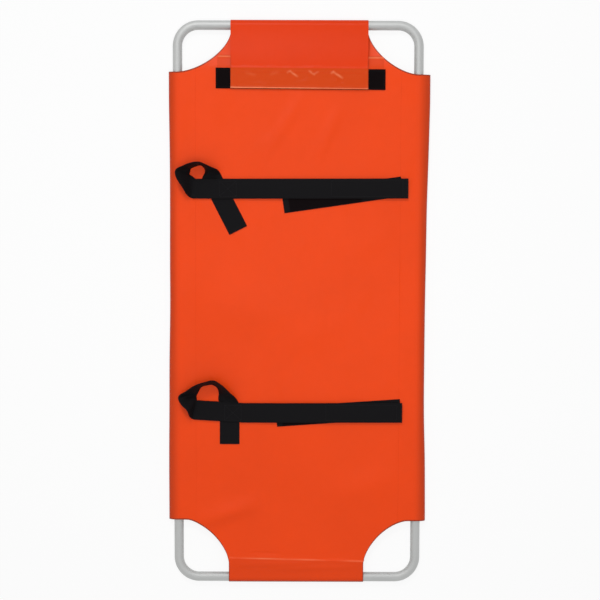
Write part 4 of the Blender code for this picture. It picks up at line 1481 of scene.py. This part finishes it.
class STRETCHER_OT_flap(bpy.types.Operator):
    """Add the head flap, the patch under it and the hook-and-loop strips that hold it"""

    bl_idname = "stretcher.flap"
    bl_label = "Head flap"
    bl_options = {"REGISTER", "UNDO"}

    def execute(self, context):
        settings = context.scene.stretcher_cover
        straps = context.scene.stretcher_straps
        self.wave_height = settings.wave_height
        self.add_patch(settings)
        size = (LOOP_STRIP_WIDTH, LOOP_STRIP_HEIGHT)
        loop_strip = self.add_strip("loop_strip", size, LOOP_STRIP_Z)
        thicken(loop_strip, LOOP_STRIP_THICKNESS, loop_finish("strip_loops", straps.tape_colour))
        belongs(loop_strip, "stretcher", "loop_tape", "flap_loop_strip")
        size = (HOOK_STRIP_WIDTH, HOOK_STRIP_HEIGHT)
        hook_strip = self.add_strip("hook_strip", size, HOOK_STRIP_Z)
        thicken(hook_strip, HOOK_STRIP_THICKNESS, hook_finish("strip_hooks", straps.tape_colour))
        belongs(hook_strip, "head_flap", "hook_tape", "flap_hook_strip")
        self.add_flap(settings)
        self.sew(settings, straps)
        return {"FINISHED"}

    def lie(self, x, y):
        return bed_z(x, y) + bed_wave(x, y, self.wave_height)

    def flap_z(self, x, y):
        """Height of the flap's middle: it climbs off the head tube and lies on its strips."""
        share = smooth((FLAP_HINGE_Y - y) / HEAD_SLOPE_LENGTH)
        strip_y = FLAP_END_Y + LOOP_STRIP_HEIGHT
        over_strip = smooth((strip_y + CRUMPLE_START - y) / CRUMPLE_START)
        crumple = noise.noise(Vector((x * 34.0, y * 60.0, 5.0)))
        crumple += 0.6 * noise.noise(Vector((x * 85.0, y * 95.0, 8.0)))
        puckers = ridges(x, y, FLAP_PUCKERS) + CRUMPLE_HEIGHT * over_strip * max(crumple, 0.0)
        hem = HEM_WELT * bell(y - FLAP_END_Y - FLAP_SHORT - 0.0016, HEM_WELT)
        welt = STRIP_WELT * bell(y - strip_y - 0.0010, 0.0022)
        drape = bed_wave(x, y, self.wave_height)
        return BED_Z + FLAP_Z * share + puckers + hem + welt + drape

    def add_patch(self, settings):
        outer_x = TONGUE_X + HEAD_NOTCH_WIDTH
        columns, rows = PATCH_CELLS

        def half_width(y):
            rise = min(max((HEAD_MOUTH_Y - y) / HEAD_NOTCH_DEPTH, 0.0), 1.0)
            edge = outer_x - HEAD_NOTCH_WIDTH * (1 - rise**HEAD_NOTCH_POWER) ** (1 / HEAD_NOTCH_POWER)
            return min(LOOP_STRIP_WIDTH / 2, edge - PATCH_EDGE_INSET)

        def flat(column, row):
            y = FLAP_END_Y + PATCH_HEIGHT * row / rows
            tilted = y + head_tilt(-TONGUE_X if column < columns / 2 else TONGUE_X)
            return (2 * (half_width(tilted) - PATCH_SIDE_INSET) * (column / columns - 0.5), y)

        def place(column, row):
            x, y = flat(column, row)
            welt = PATCH_WELT * bell(y - FLAP_END_Y - PATCH_HEIGHT + PATCH_WELT_INSET, 0.0018)
            y += head_tilt(x)
            return (x + STRIP_SHIFT, y, self.lie(x, y) + PATCH_Z + welt)

        def painted_highlight(column, row):
            """A painted highlight on the edge that stands up along the top."""
            return 0.55 * bell(PATCH_HEIGHT * (1 - row / rows) - PATCH_WELT_INSET, 0.0014)

        patch = add_sheet("head_patch", columns, rows, place, flat, marks={"painted_highlight": painted_highlight})
        colour = tinted(settings.bed_colour, 0.87)
        pitch = settings.scrim_pitch
        vinyl = vinyl_finish("patch_vinyl", colour, settings.edge_colour, pitch, HEAD_SHEEN)
        thicken(patch, PATCH_THICKNESS, vinyl, edge_finish("patch_cut_edge", settings.edge_colour))
        belongs(patch, "stretcher", "orange_vinyl", "head_reinforcement")

    def add_strip(self, name, size, lift):
        width, height = size
        columns, rows = STRIP_CELLS

        def flat(column, row):
            return (width * (column / columns - 0.5), FLAP_END_Y + height * row / rows)

        def place(column, row):
            x, y = flat(column, row)
            y += head_tilt(x)
            return (x + STRIP_SHIFT, y, self.lie(x, y) + lift)

        return add_sheet(name, columns, rows, place, flat)

    def add_flap(self, settings):
        inner_x = TONGUE_X - EDGE_BAND
        stations = [TONGUE_X] + spread(inner_x, -inner_x, FLAP_COLUMNS) + [-TONGUE_X]
        columns = len(stations) - 1
        profile = []
        for angle in spread(-math.pi / 2, math.pi / 2, WRAP_STEPS)[:-1]:
            profile.append((END_Y + WRAP_RADIUS * math.cos(angle), TUBE_Z + WRAP_RADIUS * math.sin(angle)))
        on_tube = len(profile)
        profile += [(y, BED_Z) for y in spread(END_Y, FLAP_END_Y + FLAP_SHORT, FLAP_ROWS)]
        along = lengths_along(profile)
        rows = len(profile) - 1

        def place(column, row):
            x = stations[column]
            y, z = profile[row]
            if row >= on_tube:
                z = self.flap_z(x, y)
                y += head_tilt(x) * smooth((END_Y - y) / FLAP_LENGTH)
            return (x + FLAP_SHIFT, y, z)

        def flat(column, row):
            return (TONGUE_X - stations[column], along[row])

        def darkening(column, row):
            """A little at the sides of the stretch that lies on the strips."""
            if column not in (0, columns):
                return 0.0
            return SIDE_DARKENING * smooth((profile[0][0] - profile[row][0] - 0.05) / 0.03)

        def backing_shade(column, row):
            """Painted shade: 1 where the black strip lies behind the sheet."""
            return smooth((along[row] - along[-1] + LOOP_STRIP_HEIGHT + 0.001) / 0.002)

        def painted_highlight(column, row):
            """A painted highlight on the lower hem, more at the left, and on the tops of the puckers."""
            x, y = stations[column], profile[row][0]
            if row < on_tube:
                return 0.0
            hem = bell(y - FLAP_END_Y - FLAP_SHORT - 0.0010, 0.0011) * (0.75 - 1.6 * x)
            return min(hem + max(ridges(x, y, FLAP_PUCKERS), 0.0) / PUCKER_HIGHLIGHT_HEIGHT, 1.0)

        marks = {"darkening": darkening, "backing_shade": backing_shade, "painted_highlight": painted_highlight}
        flap = add_sheet("flap", columns, rows, place, flat, marks=marks)
        # Painted shade: the flap's duller, darker colour where the black strip lies behind it
        red, green, blue = settings.shaded_flap_colour
        strip_shade_colour = (red * 0.5, green * 1.9, blue * 1.6)
        edge_colour = settings.edge_colour
        pitch = settings.scrim_pitch
        vinyl = vinyl_finish(
            "flap_vinyl", settings.shaded_flap_colour, edge_colour, pitch, HEAD_SHEEN, FLAP_STRIP_SHADE, strip_shade_colour
        )
        thicken(flap, settings.thickness, vinyl, edge_finish("flap_cut_edge", edge_colour))
        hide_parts("head_flap")
        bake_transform(flap)

    def sew(self, settings, straps):
        """The rows of thread that hold both strips."""
        bead = straps.thread_diameter / 4
        orange = thread_finish("orange_thread", tinted(settings.shaded_flap_colour, 0.9))
        black = thread_finish("strip_thread", straps.thread_colour)

        def outline(width, height, inset, surface):
            half = width / 2 - inset
            low, high = FLAP_END_Y + inset, FLAP_END_Y + height - inset
            corners = [(-half, low), (half, low), (half, high), (-half, high), (-half, low)]
            runs = []
            for (x0, y0), (x1, y1) in zip(corners, corners[1:]):
                steps = max(round(math.hypot(x1 - x0, y1 - y0) / RUN_STEP), 1)
                run = []
                for share in spread(0, 1, steps):
                    x, y = blend(x0, x1, share), blend(y0, y1, share)
                    run.append((x + STRIP_SHIFT, y + head_tilt(x), surface(x, y)))
                runs.append(run)
            return runs

        def flap_top(x, y):
            return self.flap_z(x, y) + VINYL / 2 + bead / 2

        def strip_top(x, y):
            return self.lie(x, y) + LOOP_STRIP_Z + LOOP_STRIP_THICKNESS / 2 + bead / 2

        rows = outline(HOOK_STRIP_WIDTH, HOOK_STRIP_HEIGHT, HOOK_SEW_INSET, flap_top)
        stitches = add_stitches("flap_stitches", rows, orange, straps)
        belongs(stitches, "head_flap", "flap_vinyl")
        rows = outline(LOOP_STRIP_WIDTH, LOOP_STRIP_HEIGHT, LOOP_SEW_INSET, strip_top)
        stitches = add_stitches("loop_strip_stitches", rows, black, straps)
        belongs(stitches, "stretcher", "black_webbing")


# The straps


def strap_places(strap):
    """Where a strap's lines lie: its sewn place, free end, anchor, and the under strap's directions."""
    places = dict(strap)
    places["sewn_x"] = strap["sewn_inset"] - COVER_HALF_WIDTH
    places["start_x"] = places["sewn_x"] + 2 * GAP
    places["end_x"] = COVER_HALF_WIDTH - strap["end_inset"]
    slant = math.radians(strap["under_slant_deg"])
    places["anchor"] = Vector((COVER_HALF_WIDTH - strap["anchor_inset"], strap["anchor_y"], 0))
    places["along"] = Vector((-math.cos(slant), -math.sin(slant), 0))
    places["across"] = Vector((math.sin(slant), -math.cos(slant), 0))
    return places


class STRETCHER_OT_strap_loops(bpy.types.Operator):
    """Add the left ends of the straps: the sewn place, the standing loop and the loose tail"""

    bl_idname = "stretcher.strap_loops"
    bl_label = "Strap loops"
    bl_options = {"REGISTER", "UNDO"}

    def execute(self, context):
        settings = context.scene.stretcher_straps
        wave_height = context.scene.stretcher_cover.wave_height
        webbing = webbing_finish("loop_webbing", settings.webbing_colour, settings.rib_pitch)
        thread = thread_finish("loop_thread", settings.thread_colour)
        for strap in (CHEST, HIP):
            self.add_loop(strap_places(strap), settings, wave_height, webbing, thread)
        return {"FINISHED"}

    def add_loop(self, strap, settings, wave_height, webbing, thread):
        stations = []
        for x, y, across, lean, level in strap["loop"]:
            z = blend(UNDER_STRAP_Z, SEWN_STRAP_Z, level)
            angles = (math.radians(across), math.radians(lean))
            stations.append((strap["sewn_x"] + x, strap["sewn_y"] + y, z, *angles))
        stations = through(stations, LOOP_STEPS)
        along = lengths_along([station[:2] for station in stations])
        width = settings.width

        def place(column, share):
            x, y, z, across, lean = stations[column]
            lean = max(lean, 0.0)
            flat = width * (share - 0.5) * math.cos(lean)
            rise = width * share * math.sin(lean)
            lift = bed_wave(x, y, wave_height)
            height = max(z, UNDER_STRAP_Z) + rise + lift
            return (x + flat * math.cos(across), y + flat * math.sin(across), height)

        def flat(column, share):
            return (-along[column], width * (share - 0.5))

        name = strap["name"] + "_loop"
        loop = add_webbing(name, len(stations) - 1, place, flat, settings.thickness, webbing)
        belongs(loop, "stretcher", "black_webbing", strap["name"] + "_strap_loop")

        def spot(dx, dy):
            x, y = strap["sewn_x"] - SEWN_BOX_INSET + dx, strap["sewn_y"] + dy
            top = SEWN_STRAP_Z + settings.thickness / 2 + bed_wave(x, y, wave_height)
            return (x, y, top)

        runs = box_stitch(spot, *SEWN_BOX)
        stitches = add_stitches(strap["name"] + "_sewn_box", runs, thread, settings)
        belongs(stitches, "stretcher", "black_webbing")


class STRETCHER_OT_top_straps(bpy.types.Operator):
    """Add the straps that cross the bed, with the hook tape under their free ends"""

    bl_idname = "stretcher.top_straps"
    bl_label = "Top straps"
    bl_options = {"REGISTER", "UNDO"}

    def execute(self, context):
        settings = context.scene.stretcher_straps
        wave_height = context.scene.stretcher_cover.wave_height
        webbing = webbing_finish("strap_webbing", settings.webbing_colour, settings.rib_pitch)
        hooks = hook_finish("strap_hooks", settings.tape_colour)
        thread = thread_finish("strap_thread", settings.thread_colour)
        for strap in (CHEST, HIP):
            self.add_strap(strap_places(strap), settings, wave_height, webbing, hooks, thread)
        return {"FINISHED"}

    def add_strap(self, strap, settings, wave_height, webbing, hooks, thread):
        start_x, end_x = strap["start_x"], strap["end_x"]
        name = strap["name"]
        columns = TOP_STRAP_COLUMNS
        tape_columns, tape_rows = TAPE_CELLS
        tape_end = end_x - HOOK_TAPE_INSET

        def line_y(x):
            return blend(strap["sewn_y"], strap["end_y"], (x - start_x) / (end_x - start_x))

        def lie(x, y):
            """Height of the strap's middle."""
            climb = smooth((x - start_x) / STRAP_RISE_LENGTH)
            return blend(SEWN_STRAP_Z, TOP_STRAP_Z, climb) + bed_wave(x, y, wave_height)

        def place(column, share):
            x = blend(strap["sewn_x"], end_x, column / columns)
            return (x, line_y(x) + settings.width * (share - 0.5), lie(x, line_y(x)))

        def flat(column, share):
            return ((end_x - strap["sewn_x"]) * column / columns, settings.width * (0.5 - share))

        top = add_webbing(name + "_top_strap", columns, place, flat, settings.thickness, webbing)
        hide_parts(name + "_strap")
        hinge = Vector((start_x, strap["sewn_y"], SEWN_STRAP_Z + settings.thickness / 2))
        name + "_strap"
        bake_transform(top)
        size = (settings.width, end_x - strap["sewn_x"])
        name + "_lower_strap"

        def tape_place(column, row):
            x = tape_end - HOOK_TAPE_LENGTH * (1 - column / tape_columns)
            y = line_y(x) + TAPE_WIDTH * (row / tape_rows - 0.5)
            return (x, y, HOOK_TAPE_Z + bed_wave(x, line_y(x), wave_height))

        def tape_flat(column, row):
            return (HOOK_TAPE_LENGTH * column / tape_columns, TAPE_WIDTH * row / tape_rows)

        tape = add_sheet(name + "_hooks", tape_columns, tape_rows, tape_place, tape_flat)
        thicken(tape, HOOK_TAPE_THICKNESS, hooks)
        belongs(tape, name + "_strap", "hook_tape", name + "_hook_tape")
        name + "_top_strap"

        def run_at(offset):
            run = []
            for x in spread(tape_end - HOOK_TAPE_LENGTH + TAPE_END_INSET, tape_end - TAPE_END_INSET, 30):
                y = line_y(x)
                run.append((x, y + offset, lie(x, y) + settings.thickness / 2))
            return run

        low = run_at(-TAPE_WIDTH / 2 + TAPE_SEW_INSET)
        high = run_at(TAPE_WIDTH / 2 - TAPE_SEW_INSET)
        runs = [low, high, [low[0], high[0]], [low[-1], high[-1]]]
        stitches = add_stitches(name + "_strap_stitches", runs, thread, settings)
        belongs(stitches, name + "_strap", "black_webbing")


class STRETCHER_OT_under_straps(bpy.types.Operator):
    """Add the short straps at the right, with their loop tape and their sewn anchors"""

    bl_idname = "stretcher.under_straps"
    bl_label = "Under straps"
    bl_options = {"REGISTER", "UNDO"}

    def execute(self, context):
        settings = context.scene.stretcher_straps
        wave_height = context.scene.stretcher_cover.wave_height
        webbing = webbing_finish("lower_webbing", settings.webbing_colour, settings.rib_pitch)
        loops = loop_finish("strap_loops", settings.tape_colour)
        thread = thread_finish("anchor_thread", settings.thread_colour)
        for strap in (CHEST, HIP):
            self.add_strap(strap_places(strap), settings, wave_height, webbing, loops, thread)
        return {"FINISHED"}

    def add_strap(self, strap, settings, wave_height, webbing, loops, thread):
        name = strap["name"]
        body = name + "_under_strap"

        def spot(along, across, z):
            middle = strap["anchor"] + strap["along"] * along
            point = middle + strap["across"] * across
            return (point.x, point.y, z + bed_wave(middle.x, middle.y, wave_height))

        def lying(start, end, width, z, columns):
            """The two functions that lay a strip along the under strap."""

            def place(column, share):
                return spot(blend(start, end, column / columns), width * (share - 0.5), z)

            def flat(column, share):
                return (blend(start, end, column / columns), width * (share - 0.5))

            return place, flat

        columns = ANCHOR_COLUMNS
        place, flat = lying(-ANCHOR_LENGTH, 0.0, settings.width, UNDER_STRAP_Z, columns)
        anchor = add_webbing(name + "_anchor", columns, place, flat, settings.thickness, webbing)
        belongs(anchor, "stretcher", "black_webbing", name + "_strap_anchor")

        length = strap["under_length"]
        columns = UNDER_STRAP_COLUMNS
        place, flat = lying(0.0, length, settings.width, UNDER_STRAP_Z, columns)
        lower = add_webbing(name + "_lower_strap", columns, place, flat, settings.thickness, webbing)
        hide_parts(body)
        hinge = Vector(spot(0.0, 0.0, UNDER_STRAP_Z + settings.thickness / 2))
        hinge + strap["along"] * UNDER_STRAP_ROOT
        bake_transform(lower)

        tape_end = length - LOOP_TAPE_INSET
        columns, rows = TAPE_CELLS
        place, flat = lying(tape_end - LOOP_TAPE_LENGTH, tape_end, TAPE_WIDTH, LOOP_TAPE_Z, columns)

        def tape_place(column, row):
            return place(column, row / rows)

        def tape_flat(column, row):
            return flat(column, row / rows)

        tape = add_sheet(name + "_pile", columns, rows, tape_place, tape_flat)
        thicken(tape, LOOP_TAPE_THICKNESS, loops)
        belongs(tape, body, "loop_tape", name + "_loop_tape")
        name + "_lower_strap"

        def on_anchor(along, across):
            return spot(along - ANCHOR_LENGTH / 2, across, UNDER_STRAP_Z + settings.thickness / 2)

        runs = box_stitch(on_anchor, *ANCHOR_BOX)
        stitches = add_stitches(name + "_anchor_stitches", runs, thread, settings)
        belongs(stitches, "stretcher", "black_webbing")


class STRETCHER_PT_panel(bpy.types.Panel):
    bl_idname = "STRETCHER_PT_panel"
    bl_label = "Animal stretcher"
    bl_space_type = "VIEW_3D"
    bl_region_type = "UI"
    bl_category = "Stretcher"

    def draw(self, context):
        layout = self.layout
        for operator in OPERATORS:
            layout.operator(operator.bl_idname)
        for name, group in SETTINGS.items():
            box = layout.box()
            box.label(text=group.bl_rna.name)
            for setting in group.__annotations__:
                box.prop(getattr(context.scene, name), setting)


OPERATORS = (
    STRETCHER_OT_stage,
    STRETCHER_OT_frame,
    STRETCHER_OT_fittings,
    STRETCHER_OT_cover,
    STRETCHER_OT_flap,
    STRETCHER_OT_strap_loops,
    STRETCHER_OT_top_straps,
    STRETCHER_OT_under_straps,
)
SETTINGS = {
    "stretcher_frame": StretcherFrameSettings,
    "stretcher_cover": StretcherCoverSettings,
    "stretcher_straps": StretcherStrapSettings,
    "stretcher_stage": StretcherStageSettings,
}


def register():
    for name, group in SETTINGS.items():
        bpy.utils.register_class(group)
        setattr(bpy.types.Scene, name, bpy.props.PointerProperty(type=group))
    for operator in OPERATORS:
        bpy.utils.register_class(operator)
    bpy.utils.register_class(STRETCHER_PT_panel)


def unregister():
    bpy.utils.unregister_class(STRETCHER_PT_panel)
    for operator in reversed(OPERATORS):
        bpy.utils.unregister_class(operator)
    for name, group in SETTINGS.items():
        delattr(bpy.types.Scene, name)
        bpy.utils.unregister_class(group)


def main():
    register()
    bpy.ops.stretcher.stage()
    bpy.ops.stretcher.frame()
    bpy.ops.stretcher.fittings()
    bpy.ops.stretcher.cover()
    bpy.ops.stretcher.flap()
    bpy.ops.stretcher.strap_loops()
    bpy.ops.stretcher.top_straps()
    bpy.ops.stretcher.under_straps()


if __name__ == "__main__":
    main()
